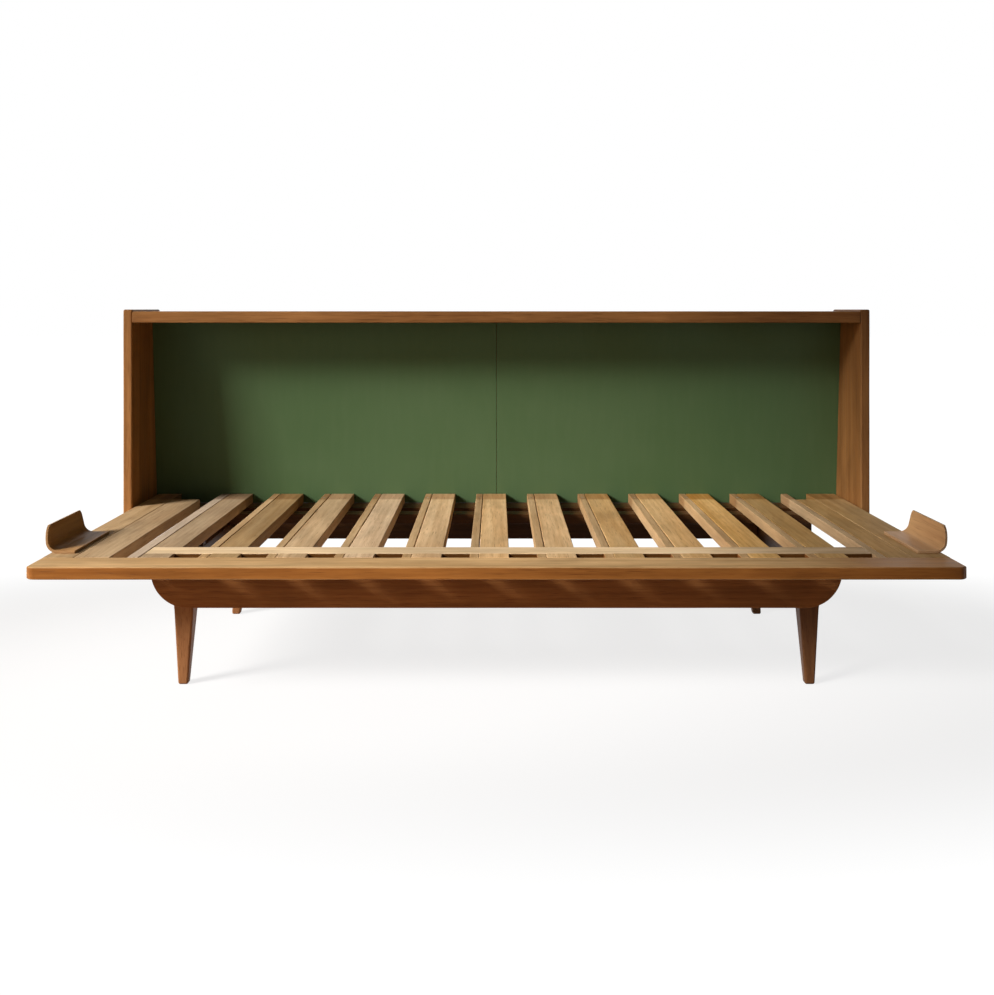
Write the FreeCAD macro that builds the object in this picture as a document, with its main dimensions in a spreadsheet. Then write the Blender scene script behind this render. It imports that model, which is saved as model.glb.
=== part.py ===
import FreeCAD, Part
import Sketcher
import os
import re

# Driving dimensions in millimetres (degrees for stop_sweep, a count for slat_count)
SIZES = {
    # Whole object
    "overall_depth": 928,
    "deck_width": 1910,
    "deck_top": 310,
    "board_thick": 26,
    # Pull-out deck
    "rail_depth": 90,
    "rail_corner": 18,
    "rail_edge": 3,
    "end_board_width": 65,
    "right_end_board_width": 80,
    "outer_slat_width": 76,
    "right_outer_slat_width": 52,
    "outer_slat_short": 92,
    "slat_count": 11,
    "slat_width": 64,
    "field_margin": 67,
    "field_shift": 5,
    "slat_rear_gap": 4,
    "crossbar_setback": 127,
    "crossbar_width": 65,
    "crossbar_thick": 13,
    "tongue_length": 18,
    "tongue_thick": 10,
    "tongue_shoulder": 5,
    "tongue_fit": 0.1,
    "tie_width": 50,
    "tie_thick": 26,
    "tie_clear": 5,
    "tie_end_inset": 12,
    "pull_travel": 250,
    # Bent mattress stops
    "stop_setback": 125,
    "stop_length": 211,
    "stop_height": 58,
    "stop_front_corner": 50,
    "stop_rear_corner": 16,
    "stop_inset": 55,
    "stop_flat": 36,
    "stop_bend": 22,
    "stop_sweep": 77,
    "ply_thick": 6,
    # Narrow strips: fixed slats between the moving ones, and the two edge strips of the deck
    "strip_width": 18.5,
    "left_edge_strip_width": 24.5,
    "strip_gap": 1.5,
    "strip_front_gap": 2,
    "lap_gap": 1,
    # Base frame and legs
    "apron_thick": 24,
    "front_apron_setback": 175,
    "front_apron_margin": 201,
    "front_apron_height": 104,
    "apron_corner": 80,
    "rear_apron_inset": 108,
    "rear_apron_margin": 85,
    "rear_apron_height": 86,
    "runner_thick": 24,
    "runner_height": 60,
    "pull_stop_length": 24,
    "pull_stop_clear": 4,
    "leg_inset": 43,
    "leg_block": 44,
    "leg_foot": 22,
    "front_leg_lean": 5,
    "rear_leg_splay": 11,
    "leg_rake": 16,
    "leg_edge": 5,
    # Bedding box
    "side_gap": 6,
    "side_thick": 24,
    "side_bottom": 240,
    "side_edge": 4,
    "box_depth": 244,
    "box_height": 831,
    "top_drop": 5,
    "top_thick": 20,
    "lip_height": 30,
    "lip_depth": 24,
    "lip_edge": 2,
    "floor_thick": 18,
    "panel_thick": 8,
    "panel_foot_inset": 28,
    "panel_head_inset": 72,
    "panel_seam": 1,
    "batten_width": 60,
    "batten_thick": 18,
    "cleat_width": 20,
    # Fasteners
    "screw_shank": 2,
    "screw_head": 4,
    "screw_sink": 3,
    "screw_cover": 6,
    "screw_bite": 30,
    "stop_screw_cover": 2,
    "screw_fit": 0.1,
    "bolt_shank": 4,
    "bolt_head": 9,
    "bolt_head_thick": 4,
    "nut_reach": 7,
    "nut_thick": 6.5,
}

# Places worked out from the driving dimensions
PLACES = {
    "front_y": "-overall_depth / 2",
    "rear_y": "overall_depth / 2",
    "deck_half": "deck_width / 2",
    "deck_under": "deck_top - board_thick",
    "board_middle": "deck_top - board_thick / 2",
    "rail_rear": "front_y + rail_depth",
    "panel_foot": "rear_y - panel_foot_inset",
    "panel_head": "rear_y - panel_head_inset",
    "deck_rear": "panel_foot - slat_rear_gap",
    "slat_run": "deck_rear - rail_rear",
    "field_half": "deck_half - end_board_width - outer_slat_width",
    "field_right": "deck_half - right_end_board_width - right_outer_slat_width",
    "slat_pitch": "(2 * field_half - 2 * field_margin - slat_width) / (slat_count - 1)",
    "first_slat": "-slat_pitch * (slat_count - 1) / 2 - field_shift",
    "crossbar_front": "front_y + crossbar_setback",
    "crossbar_under": "deck_top - crossbar_thick",
    "strip_share": "strip_gap + strip_width",
    "crossbar_left": "first_slat - slat_width / 2",
    "crossbar_right": "field_right - strip_share - lap_gap",
    "strip_front": "rail_rear + strip_front_gap",
    "rebate_top": "crossbar_under - lap_gap",
    "rebate_rear": "crossbar_front + crossbar_width + lap_gap",
    "front_apron_front": "front_y + front_apron_setback",
    "front_apron_rear": "front_apron_front + apron_thick",
    "front_apron_half": "deck_half - front_apron_margin",
    "front_apron_bottom": "deck_under - front_apron_height",
    "rear_apron_front": "rear_y - rear_apron_inset",
    "rear_apron_rear": "rear_apron_front + apron_thick",
    "rear_apron_half": "deck_half - rear_apron_margin",
    "runner_top": "deck_under - tie_thick",
    "runner_middle": "runner_top - runner_height / 2",
    "leg_reach": "front_apron_half - leg_inset",
    "tie_rear": "rear_apron_front - leg_block - tie_clear",
    "tie_front": "tie_rear - tie_width",
    "tie_half": "deck_half - tie_end_inset",
    "stop_front": "front_y + stop_setback",
    "stop_rear": "stop_front + stop_length",
    "stop_inner": "deck_half - stop_inset",
    "stop_bend_x": "stop_inner + stop_flat",
    "stop_bend_z": "deck_top + ply_thick + stop_bend",
    "box_half": "deck_half + side_gap",
    "box_front": "rear_y - box_depth",
    "top_upper": "box_height - top_drop",
    "top_under": "top_upper - top_thick",
}

doc = FreeCAD.newDocument("daybed")
sheet = doc.addObject("Spreadsheet::Sheet", "Sizes")
for row, (name, size) in enumerate(SIZES.items(), 1):
    sheet.set(f"A{row}", name)
    sheet.set(f"B{row}", str(size))
    sheet.setAlias(f"B{row}", name)
doc.recompute()

SLAT_COUNT = int(SIZES["slat_count"])
SIDES = {"left": -1, "right": 1}
EDGE_BOARDS = {
    "left": ("end_board_width", "outer_slat_width", "field_half"),
    "right": ("right_end_board_width", "right_outer_slat_width", "field_right"),
}
STOP_SCREW_PLACES = ("1 / 6", "1 / 2", "5 / 6")
LEG_ENDS = (
    ("front", "front_apron_rear", 1, "-front_leg_lean"),
    ("rear", "rear_apron_front", -1, "rear_leg_splay"),
)
NUT_SIDES = 6
X_AXIS = FreeCAD.Vector(1, 0, 0)
Y_AXIS = FreeCAD.Vector(0, 1, 0)
UPRIGHT = FreeCAD.Rotation(X_AXIS, 90)
TOLERANCE = 1e-6
pieces = []


def expand(text):
    """Write an expression with every place worked out and every size read from the sheet."""
    def swap(match):
        word = match.group()
        if word in PLACES:
            return f"({expand(PLACES[word])})"
        return f"Sizes.{word}" if word in SIZES else word
    return re.sub(r"[a-z_]+", swap, str(text))


def measure(text):
    """The present value of an expression."""
    return float(sheet.evalExpression(expand(text)))


def bind(item, **values):
    """Tie properties of an object to expressions."""
    for prop, text in values.items():
        item.setExpression(prop, expand(text))
    return item


def seat(item, x=0, y=0, z=0):
    """Tie the place of an object to expressions."""
    for axis, text in zip("xyz", (x, y, z)):
        item.setExpression(f"Placement.Base.{axis}", expand(text))
    return item


def piece(item, label):
    """Name a finished sub-part and keep it for writing."""
    item.Label = label
    pieces.append(item)
    return item


def block(name, x, y, z):
    """A rectangular solid; each axis gives the least coordinate and the length."""
    item = doc.addObject("Part::Box", name)
    bind(item, Length=x[1], Width=y[1], Height=z[1])
    return seat(item, x[0], y[0], z[0])


def between(low, high):
    """The least coordinate and length of a stretch given by its two ends."""
    return low, f"({high}) - ({low})"


def outward(sign, inner, width):
    """The stretch along X that starts at inner and runs away from the middle on one side."""
    return (inner if sign > 0 else f"-({inner}) - ({width})", width)


def centred(middle, width):
    """The stretch of the given width about a middle."""
    return f"({middle}) - ({width}) / 2", width


def rod(name, radius, length, x, y, z, turn=None):
    """A round bar that starts at a point, along Z unless it is turned."""
    item = doc.addObject("Part::Cylinder", name)
    if turn:
        item.Placement.Rotation = turn
    bind(item, Radius=radius, Height=length)
    return seat(item, x, y, z)


def joined(name, items):
    """Several solids as one shape."""
    item = doc.addObject("Part::MultiFuse", name)
    item.Shapes = items
    return item


def gathered(name, items):
    """Separate solids kept together in one group."""
    item = doc.addObject("Part::Compound", name)
    item.Links = items
    return item


def carved(name, base, tools):
    """A solid with other solids cut out of it."""
    item = doc.addObject("Part::Cut", name)
    item.Base = base
    item.Tool = tools[0] if len(tools) == 1 else joined(f"{name}_tools", tools)
    return item


def eased(name, base, radius, choose):
    """A solid whose chosen edges are rounded; choose tests an edge."""
    doc.recompute()
    amount = measure(radius)
    item = doc.addObject("Part::Fillet", name)
    item.Base = base
    item.Edges = [
        (number, amount, amount)
        for number, edge in enumerate(base.Shape.Edges, 1)
        if choose(edge)
    ]
    return item


def tapered(name, low_z, high_z, low_x, low_y, high_x, high_y):
    """A block whose lower and upper faces differ; x and y are (least, length) stretches."""
    item = doc.addObject("Part::Wedge", name)
    item.Placement.Rotation = UPRIGHT
    bind(
        item,
        Ymin=low_z,
        Ymax=high_z,
        Xmin=low_x[0],
        Xmax=f"({low_x[0]}) + ({low_x[1]})",
        X2min=high_x[0],
        X2max=f"({high_x[0]}) + ({high_x[1]})",
        Zmin=f"-({low_y[0]}) - ({low_y[1]})",
        Zmax=f"-({low_y[0]})",
        Z2min=f"-({high_y[0]}) - ({high_y[1]})",
        Z2max=f"-({high_y[0]})",
    )
    return item


def plate(name, plane, points, thickness, *roundings):
    """A flat plate padded from an outline; each rounding gives corner numbers and their radius."""
    body = doc.addObject("PartDesign::Body", name)
    sketch = body.newObject("Sketcher::SketchObject", f"{name}_outline")
    support = next(item for item in body.Origin.OriginFeatures if item.Role == plane)
    sketch.AttachmentSupport = [(support, "")]
    sketch.MapMode = "FlatFace"
    corners = [FreeCAD.Vector(measure(u), measure(v), 0) for u, v in points]
    count = len(corners)
    for number, corner in enumerate(corners):
        sketch.addGeometry(Part.LineSegment(corner, corners[(number + 1) % count]))
    for number in range(count):
        sketch.addConstraint(Sketcher.Constraint("Coincident", number, 2, (number + 1) % count, 1))
    for number, point in enumerate(points):
        for kind, text in zip(("DistanceX", "DistanceY"), point):
            fixed = Sketcher.Constraint(kind, -1, 1, number, 1, measure(text))
            index = sketch.addConstraint(fixed)
            sketch.setExpression(f"Constraints[{index}]", expand(text))
    pad = body.newObject("PartDesign::Pad", f"{name}_pad")
    pad.Profile = sketch
    bind(pad, Length=thickness)
    doc.recompute()
    across = sketch.Placement.Rotation.multVec(FreeCAD.Vector(0, 0, 1))
    for numbers, radius in roundings:
        last = body.Tip
        spots = [sketch.Placement.multVec(corners[number]) for number in numbers]
        fillet = body.newObject("PartDesign::Fillet", f"{name}_round")
        fillet.Base = (last, [
            f"Edge{number}"
            for number, edge in enumerate(last.Shape.Edges, 1)
            if any(on_line(edge, spot, across) for spot in spots)
        ])
        bind(fillet, Radius=radius)
        doc.recompute()
    return body


def on_line(edge, spot, direction):
    """Whether both ends of an edge lie on the line through a spot."""
    return all(
        vertex.Point.distanceToLine(spot, direction) < TOLERANCE for vertex in edge.Vertexes
    )


def upward_screw(name, x, y, z, length, fit="0"):
    """A countersunk screw driven up from a face at z; fit widens it into its hole."""
    shank = rod(f"{name}_shank", f"screw_shank + {fit}", f"{length} + {fit}", x, y, z)
    head = doc.addObject("Part::Cone", f"{name}_head")
    bind(head, Radius1=f"screw_head + {fit}", Radius2=f"screw_shank + {fit}", Height="screw_sink")
    return joined(name, [shank, seat(head, x, y, z)])


def downward_screw(name, x, y, z, length, fit="0"):
    """A countersunk screw driven down from a face at z; fit widens it into its hole."""
    low = f"{z} - ({length}) - {fit}"
    shank = rod(f"{name}_shank", f"screw_shank + {fit}", f"{length} + {fit}", x, y, low)
    head = doc.addObject("Part::Cone", f"{name}_head")
    bind(head, Radius1=f"screw_shank + {fit}", Radius2=f"screw_head + {fit}", Height="screw_sink")
    return joined(name, [shank, seat(head, x, y, f"{z} - screw_sink")])


def slat_middle(number):
    """The middle of one wide slat, counted from 0 at the left."""
    return f"first_slat + {number} * slat_pitch"


def strip_middle(number):
    """The middle of the narrow strip on the left of one wide slat."""
    return f"{slat_middle(number)} - slat_width / 2 - strip_gap - strip_width / 2"


def deck_boards():
    """Name, middle, width and length of every board that is tongued into the front rail."""
    boards = []
    for side, sign in SIDES.items():
        end_width, outer_width, field_edge = EDGE_BOARDS[side]
        edge = f"{sign} * (deck_half - {end_width} / 2)"
        inner = f"{sign} * ({field_edge} + {outer_width} / 2)"
        boards.append((f"end_board_{side}", edge, end_width, "slat_run"))
        boards.append((f"outer_slat_{side}", inner, outer_width, "slat_run - outer_slat_short"))
    left_strip = "crossbar_left - strip_gap - left_edge_strip_width / 2"
    boards.append(("edge_strip_left", left_strip, "left_edge_strip_width", "slat_run"))
    boards.append(("edge_strip_right", "field_right - strip_gap - strip_width / 2", "strip_width", "slat_run"))
    for number in range(SLAT_COUNT):
        boards.append((f"deck_slat_{number + 1:02d}", slat_middle(number), "slat_width", "slat_run"))
    return boards


def tongue(name, middle, width, fit):
    """The tongue of one deck board, or with a fit its mortise in the rail."""
    return block(
        name,
        centred(middle, f"{width} - 2 * tongue_shoulder + 2 * {fit}"),
        between(f"rail_rear - tongue_length - {fit}", "rail_rear"),
        centred("board_middle", f"tongue_thick + 2 * {fit}"),
    )


def build_deck():
    """The pull-out deck: front rail, boards tongued into it, teeth, crossbar, rear tie and screws."""
    boards = deck_boards()
    crossbar_y = ("crossbar_front", "crossbar_width")
    crossbar_z = ("crossbar_under", "crossbar_thick")
    crossbar_x = between("crossbar_left", "crossbar_right")
    piece(block("crossbar", crossbar_x, crossbar_y, crossbar_z), "crossbar")

    rail_plan = [
        ("-deck_half", "front_y"),
        ("deck_half", "front_y"),
        ("deck_half", "rail_rear"),
        ("-deck_half", "rail_rear"),
    ]
    rail = plate("rail_plan", "XY_Plane", rail_plan, "board_thick", ((0, 1), "rail_corner"))
    seat(rail, z="deck_under")
    doc.recompute()
    rear_face = measure("rail_rear")
    rail = eased(
        "rail_eased", rail, "rail_edge",
        lambda edge: is_level(edge) and edge.BoundBox.YMax < rear_face - TOLERANCE,
    )
    mortises = [tongue(f"{name}_mortise", middle, width, "tongue_fit") for name, middle, width, _ in boards]
    piece(carved("rail_cut", rail, mortises), "front_rail")

    screw_y = "(tie_front + tie_rear) / 2"
    screw_length = "tie_thick + board_thick - screw_cover"
    screws = []
    for name, middle, width, length in boards:
        run = ("rail_rear", length)
        body = block(f"{name}_run", centred(middle, width), run, ("deck_under", "board_thick"))
        board = joined(f"{name}_blank", [body, tongue(f"{name}_tongue", middle, width, "0")])
        cuts = [upward_screw(f"{name}_hole", middle, screw_y, "runner_top", screw_length, "screw_fit")]
        if width == "slat_width":
            cuts.append(block(f"{name}_notch", centred(middle, width), crossbar_y, crossbar_z))
        if name.startswith("end_board"):
            sign = SIDES[name.rsplit("_", 1)[1]]
            cuts += stop_screws(f"{name}_stop_hole", sign, "screw_fit")
        piece(carved(f"{name}_cut", board, cuts), name)
        screws.append(upward_screw(f"{name}_screw", middle, screw_y, "runner_top", screw_length))

    teeth = []
    for number in range(1, SLAT_COUNT):
        tooth_x = (f"{slat_middle(number)} - slat_width / 2 - strip_share", "strip_share")
        tooth_y = between("rail_rear", "crossbar_front")
        teeth.append(block(f"tooth_{number:02d}", tooth_x, tooth_y, crossbar_z))
    piece(gathered("rail_tooth_group", teeth), "rail_teeth")
    tie_x = between("-tie_half", "tie_half")
    tie = block("tie_blank", tie_x, ("tie_front", "tie_width"), ("runner_top", "tie_thick"))
    tie_holes = [
        upward_screw(f"{name}_tie_hole", middle, screw_y, "runner_top", screw_length, "screw_fit")
        for name, middle, _, _ in boards
    ]
    piece(carved("tie_cut", tie, tie_holes), "rear_tie")
    piece(gathered("tie_screw_group", screws), "tie_screws")


def is_level(edge):
    """Whether an edge lies in a horizontal plane."""
    return edge.BoundBox.ZLength < TOLERANCE


def stop_screws(name, sign, fit="0"):
    """The three screws that hold one mattress stop from below."""
    x = f"{sign} * (stop_inner + stop_flat / 2)"
    length = "board_thick + ply_thick - stop_screw_cover"
    return [
        upward_screw(f"{name}_{number}", x, f"stop_front + stop_length * {share}", "deck_under", length, fit)
        for number, share in enumerate(STOP_SCREW_PLACES)
    ]


def build_mattress_stops():
    """Two bent plywood stops: a flange on the end board, a bend and a lip that leans outwards."""
    along = ("stop_front", "stop_length")
    flange = block("stop_flange", ("stop_inner", "stop_flat"), along, ("deck_top", "ply_thick"))
    down = FreeCAD.Rotation(
        FreeCAD.Vector(0, 0, -1), FreeCAD.Vector(1, 0, 0), FreeCAD.Vector(0, -1, 0), "ZXY"
    )
    bend_place = ("stop_bend_x", "stop_rear", "stop_bend_z")
    outer = rod("stop_bend_outer", "stop_bend + ply_thick", "stop_length", *bend_place, down)
    bind(outer, Angle="stop_sweep")
    inner = rod("stop_bend_inner", "stop_bend", "stop_length", *bend_place, down)
    bend = carved("stop_bend", outer, [inner])
    lip = doc.addObject("Part::Box", "stop_lip")
    lip.Placement.Rotation = FreeCAD.Rotation(-Y_AXIS, measure("stop_sweep"))
    bind(lip, Length="stop_height", Width="stop_length", Height="ply_thick")
    seat(
        lip,
        "stop_bend_x + (stop_bend + ply_thick) * sin(stop_sweep)",
        "stop_front",
        "stop_bend_z - (stop_bend + ply_thick) * cos(stop_sweep)",
    )
    strip = joined("stop_strip", [flange, bend, lip])
    outline = [
        ("stop_front", "deck_top"),
        ("stop_rear", "deck_top"),
        ("stop_rear", "deck_top + stop_height"),
        ("stop_front", "deck_top + stop_height"),
    ]
    depth = "stop_inset + stop_height + stop_bend"
    corners = (((2,), "stop_rear_corner"), ((3,), "stop_front_corner"))
    side_form = plate("stop_form", "YZ_Plane", outline, depth, *corners)
    seat(side_form, x="stop_inner")
    blank = doc.addObject("Part::Common", "stop_blank")
    blank.Base = strip
    blank.Tool = side_form
    right = carved("stop_right", blank, stop_screws("stop_right_hole", 1, "screw_fit"))
    piece(right, "mattress_stop_right")
    left = doc.addObject("Part::Mirroring", "stop_left")
    left.Source = right
    left.Normal = X_AXIS
    piece(left, "mattress_stop_left")
    screws = []
    for side, sign in SIDES.items():
        screws += stop_screws(f"stop_screw_{side}", sign)
    piece(gathered("stop_screw_group", screws), "stop_screws")


def strip_screw_pair(name, middle, fit="0"):
    """The front and rear screws that hold one fixed slat down on the aprons."""
    front_y = "front_apron_front + apron_thick / 2"
    rear_y = "rear_apron_front + apron_thick / 2"
    front_length = "rebate_top - deck_under + screw_bite"
    front = downward_screw(f"{name}_front", middle, front_y, "rebate_top", front_length, fit)
    rear = downward_screw(f"{name}_rear", middle, rear_y, "deck_top", "board_thick + screw_bite", fit)
    return front, rear


def build_fixed_slats():
    """Narrow fixed slats, one on the left of each deck slat but the first, and their holes in the aprons."""
    screws = []
    front_holes = []
    rear_holes = []
    for number in range(1, SLAT_COUNT):
        name = f"fixed_slat_{number:02d}"
        middle = strip_middle(number)
        across = centred(middle, "strip_width")
        run = block(
            f"{name}_run", across, between("strip_front", "deck_rear"), ("deck_under", "board_thick")
        )
        rebate = block(
            f"{name}_rebate", across, between("strip_front", "rebate_rear"), between("rebate_top", "deck_top")
        )
        own_holes = strip_screw_pair(f"{name}_hole", middle, "screw_fit")
        piece(carved(f"{name}_cut", run, [rebate, *own_holes]), name)
        screws += strip_screw_pair(f"{name}_screw", middle)
        front, rear = strip_screw_pair(f"{name}_apron_hole", middle, "screw_fit")
        front_holes.append(front)
        rear_holes.append(rear)
    piece(gathered("fixed_slat_screw_group", screws), "fixed_slat_screws")
    return front_holes, rear_holes


def build_base(front_holes, rear_holes):
    """Aprons, runners, pull stops and the four bolted legs."""
    face = [
        ("-front_apron_half", "front_apron_bottom"),
        ("front_apron_half", "front_apron_bottom"),
        ("front_apron_half", "deck_under"),
        ("-front_apron_half", "deck_under"),
    ]
    apron = plate("apron_face", "XZ_Plane", face, "apron_thick", ((0, 1), "apron_corner"))
    seat(apron, y="front_apron_rear")
    piece(carved("front_apron_cut", apron, front_holes), "front_apron")
    rear = block(
        "rear_apron_blank",
        between("-rear_apron_half", "rear_apron_half"),
        ("rear_apron_front", "apron_thick"),
        ("deck_under - rear_apron_height", "rear_apron_height"),
    )
    piece(carved("rear_apron_cut", rear, rear_holes), "rear_apron")

    runner_y = between("front_apron_rear", "rear_apron_front")
    runner_z = ("runner_top - runner_height", "runner_height")
    piece(block("centre_runner", centred("0", "runner_thick"), runner_y, runner_z), "centre_runner")
    bolts = []
    for side, sign in SIDES.items():
        across = outward(sign, "leg_reach", "runner_thick")
        runner = block(f"side_runner_{side}_blank", across, runner_y, runner_z)
        stop_y = ("tie_front - pull_travel - pull_stop_length", "pull_stop_length")
        stop_z = ("runner_top", "tie_thick - pull_stop_clear")
        piece(block(f"pull_stop_{side}", across, stop_y, stop_z), f"pull_stop_{side}")
        runner_holes = []
        for end, face_y, depth_sign, splay in LEG_ENDS:
            name = f"{end}_leg_{side}"
            hole = bolt(f"{name}_hole", sign, face_y, depth_sign, "screw_fit")
            piece(carved(f"{name}_cut", leg(name, sign, face_y, depth_sign, splay), [hole]), name)
            runner_holes.append(bolt(f"{name}_runner_hole", sign, face_y, depth_sign, "screw_fit"))
            bolts.append(whole_bolt(f"{name}_bolt", sign, face_y, depth_sign))
        piece(carved(f"side_runner_{side}_cut", runner, runner_holes), f"side_runner_{side}")
    piece(gathered("leg_bolt_group", bolts), "leg_bolts")


def inward(depth_sign, face_y, start, length):
    """The stretch along Y that starts a distance behind a face, towards the middle of the base."""
    if depth_sign > 0:
        return f"{face_y} + {start}", length
    return f"{face_y} - ({start}) - ({length})", length


def leg(name, sign, face_y, depth_sign, splay):
    """A square block in the corner of the base with a tapered leg under it; splay moves the foot outwards."""
    block_x = outward(sign, "leg_reach - leg_block", "leg_block")
    block_y = inward(depth_sign, face_y, "0", "leg_block")
    foot_x = outward(sign, f"leg_reach + ({splay}) - leg_foot", "leg_foot")
    foot_y = inward(depth_sign, face_y, "leg_rake", "leg_foot")
    upper = block(f"{name}_block", block_x, block_y, between("front_apron_bottom", "runner_top"))
    lower = tapered(f"{name}_taper", "0", "front_apron_bottom", foot_x, foot_y, block_x, block_y)
    doc.recompute()
    top = measure("front_apron_bottom")
    rounded = eased(
        f"{name}_eased", lower, "leg_edge",
        lambda edge: edge.BoundBox.ZMin < top - TOLERANCE,
    )
    return joined(f"{name}_blank", [upper, rounded])


def bolt(name, sign, face_y, depth_sign, fit="0"):
    """The shank of a leg bolt through the runner and the leg block; fit widens it into its hole."""
    start, length = outward(sign, "leg_reach - leg_block - nut_reach", "leg_block + nut_reach + runner_thick")
    y = inward(depth_sign, face_y, "leg_block / 2", "0")[0]
    turn = FreeCAD.Rotation(Y_AXIS, 90)
    return rod(name, f"bolt_shank + {fit}", length, start, y, "runner_middle", turn)


def whole_bolt(name, sign, face_y, depth_sign):
    """A leg bolt with its round head on the runner and its nut on the leg block."""
    shank = bolt(f"{name}_shank", sign, face_y, depth_sign)
    y = inward(depth_sign, face_y, "leg_block / 2", "0")[0]
    turn = FreeCAD.Rotation(Y_AXIS, 90)
    head_x = outward(sign, "leg_reach + runner_thick", "bolt_head_thick")[0]
    head = rod(f"{name}_head", "bolt_head", "bolt_head_thick", head_x, y, "runner_middle", turn)
    nut = doc.addObject("Part::Prism", f"{name}_nut")
    nut.Polygon = NUT_SIDES
    nut.Placement.Rotation = turn
    bind(nut, Circumradius="bolt_shank * 2", Height="nut_thick")
    nut_x = outward(sign, "leg_reach - leg_block - nut_thick", "nut_thick")[0]
    seat(nut, nut_x, y, "runner_middle")
    return joined(name, [shank, head, nut])


def leaning(name, x, start, thickness):
    """An upright board that leans with the back panel, a distance behind its front face."""
    foot_y = (f"panel_foot + {start}", thickness)
    head_y = (f"panel_head + {start}", thickness)
    return tapered(name, "deck_under", "top_under", x, foot_y, x, head_y)


def build_box():
    """The bedding box: sides, top and its front lipping, floor, and the leaning back in two halves."""
    for side, sign in SIDES.items():
        across = outward(sign, "box_half", "side_thick")
        upright = between("side_bottom", "box_height")
        blank = block(f"box_side_{side}_blank", across, between("box_front", "rear_y"), upright)
        inner = sign * measure("box_half")
        rounded = eased(
            f"box_side_{side}_eased", blank, "side_edge",
            lambda edge, face=inner: max(abs(v.X - face) for v in edge.Vertexes) > TOLERANCE,
        )
        piece(rounded, f"box_side_{side}")

    width = between("-box_half", "box_half")
    lip = block("box_lip_blank", width, ("box_front", "lip_depth"), ("top_upper - lip_height", "lip_height"))
    doc.recompute()
    front = measure("box_front")
    lip_eased = eased(
        "box_lip_eased", lip, "lip_edge",
        lambda edge: is_level(edge) and edge.BoundBox.YMax < front + TOLERANCE,
    )
    piece(lip_eased, "box_top_lipping")
    top_y = between("box_front + lip_depth", "rear_y")
    piece(block("box_top", width, top_y, ("top_under", "top_thick")), "box_top")
    floor_z = ("deck_under - floor_thick", "floor_thick")
    piece(block("box_floor", width, between("rear_apron_rear", "rear_y"), floor_z), "box_floor")

    for side, sign in SIDES.items():
        half = outward(sign, "panel_seam / 2", "box_half - panel_seam / 2")
        piece(leaning(f"back_panel_{side}", half, "0", "panel_thick"), f"back_panel_{side}")
        edge = outward(sign, "box_half - cleat_width", "cleat_width")
        piece(leaning(f"panel_cleat_{side}", edge, "panel_thick", "batten_thick"), f"panel_cleat_{side}")
    seam = centred("0", "batten_width")
    piece(leaning("panel_batten", seam, "panel_thick", "batten_thick"), "panel_batten")


def check_and_write():
    """Stop on any failed object or bad shape, then write each sub-part to its own file."""
    doc.recompute()
    for item in doc.Objects:
        if {"Invalid", "Error"} & set(item.State):
            raise RuntimeError(f"{item.Label} failed: {item.State}")
    for item in pieces:
        if item.Shape.isNull() or not item.Shape.isValid() or not item.Shape.Solids:
            raise RuntimeError(f"{item.Label} has no valid solid")
    os.makedirs("parts", exist_ok=True)
    for item in pieces:
        item.Shape.exportStep(f"parts/{item.Label}.step")
    print(len(pieces), "sub-parts written")


build_deck()
build_mattress_stops()
apron_holes = build_fixed_slats()
build_base(*apron_holes)
build_box()
check_and_write()
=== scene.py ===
"""Looks of a pull-out daybed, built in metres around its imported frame."""

import logging
import math
from abc import ABC, abstractmethod
from dataclasses import dataclass
from enum import Enum
from functools import cache

import bpy
import numpy as np
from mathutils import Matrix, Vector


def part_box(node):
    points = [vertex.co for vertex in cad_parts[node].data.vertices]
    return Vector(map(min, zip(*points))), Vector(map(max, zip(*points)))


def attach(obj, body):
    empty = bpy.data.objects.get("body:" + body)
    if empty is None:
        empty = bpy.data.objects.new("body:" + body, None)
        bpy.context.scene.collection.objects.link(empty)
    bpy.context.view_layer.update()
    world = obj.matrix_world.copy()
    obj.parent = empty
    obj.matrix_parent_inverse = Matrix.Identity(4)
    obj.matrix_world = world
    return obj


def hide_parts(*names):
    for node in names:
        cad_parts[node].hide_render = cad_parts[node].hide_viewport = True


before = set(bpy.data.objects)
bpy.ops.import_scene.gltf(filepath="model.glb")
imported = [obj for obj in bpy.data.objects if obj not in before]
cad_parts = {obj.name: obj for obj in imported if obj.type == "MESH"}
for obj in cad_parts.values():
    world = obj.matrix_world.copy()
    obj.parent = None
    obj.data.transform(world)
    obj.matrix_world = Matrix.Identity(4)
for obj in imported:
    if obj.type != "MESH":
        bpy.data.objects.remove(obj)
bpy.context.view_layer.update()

Colour = tuple[float, float, float]
Span = tuple[float, float]
Array = np.ndarray
Socket = bpy.types.NodeSocket
Material = bpy.types.Material

LOG = logging.getLogger("daybed")
IMAGE_WIDTH = 994
IMAGE_HEIGHT = 995
SENSOR_WIDTH = 36.0
QUARTER = math.pi / 2.0

# A ring has four rounded corners; FIRST and SECOND pick the bound that each corner lies on.
CORNER_STEPS = 4
RING = 4 * CORNER_STEPS
END_STEPS = (30.0, 60.0)
ANGLES = np.arange(4)[:, None] * QUARTER + np.linspace(0.0, QUARTER, CORNER_STEPS)
FIRST = np.array([1, 0, 0, 1])
SECOND = np.array([1, 1, 0, 0])

RING_PITCH = 0.05
EASE_IN = 0.03
WANDER_WAVES = 4
WANDER_TURN = 4.2
WANDER_SPREAD = (0.6, 1.4)
EDGE_PACE = 3.0
EDGE_SEED = 10
CUT_SEED = 1000
PITH_RANGES = ((0.0, 9.0), (-0.09, 0.09), (0.03, 0.12))
FACE_START = 0.3
FACE_FADE = 0.6
TOUCH = 1e-9
CROSSBAR_PLAY = 0.001
SLAT_COUNT = 11

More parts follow.
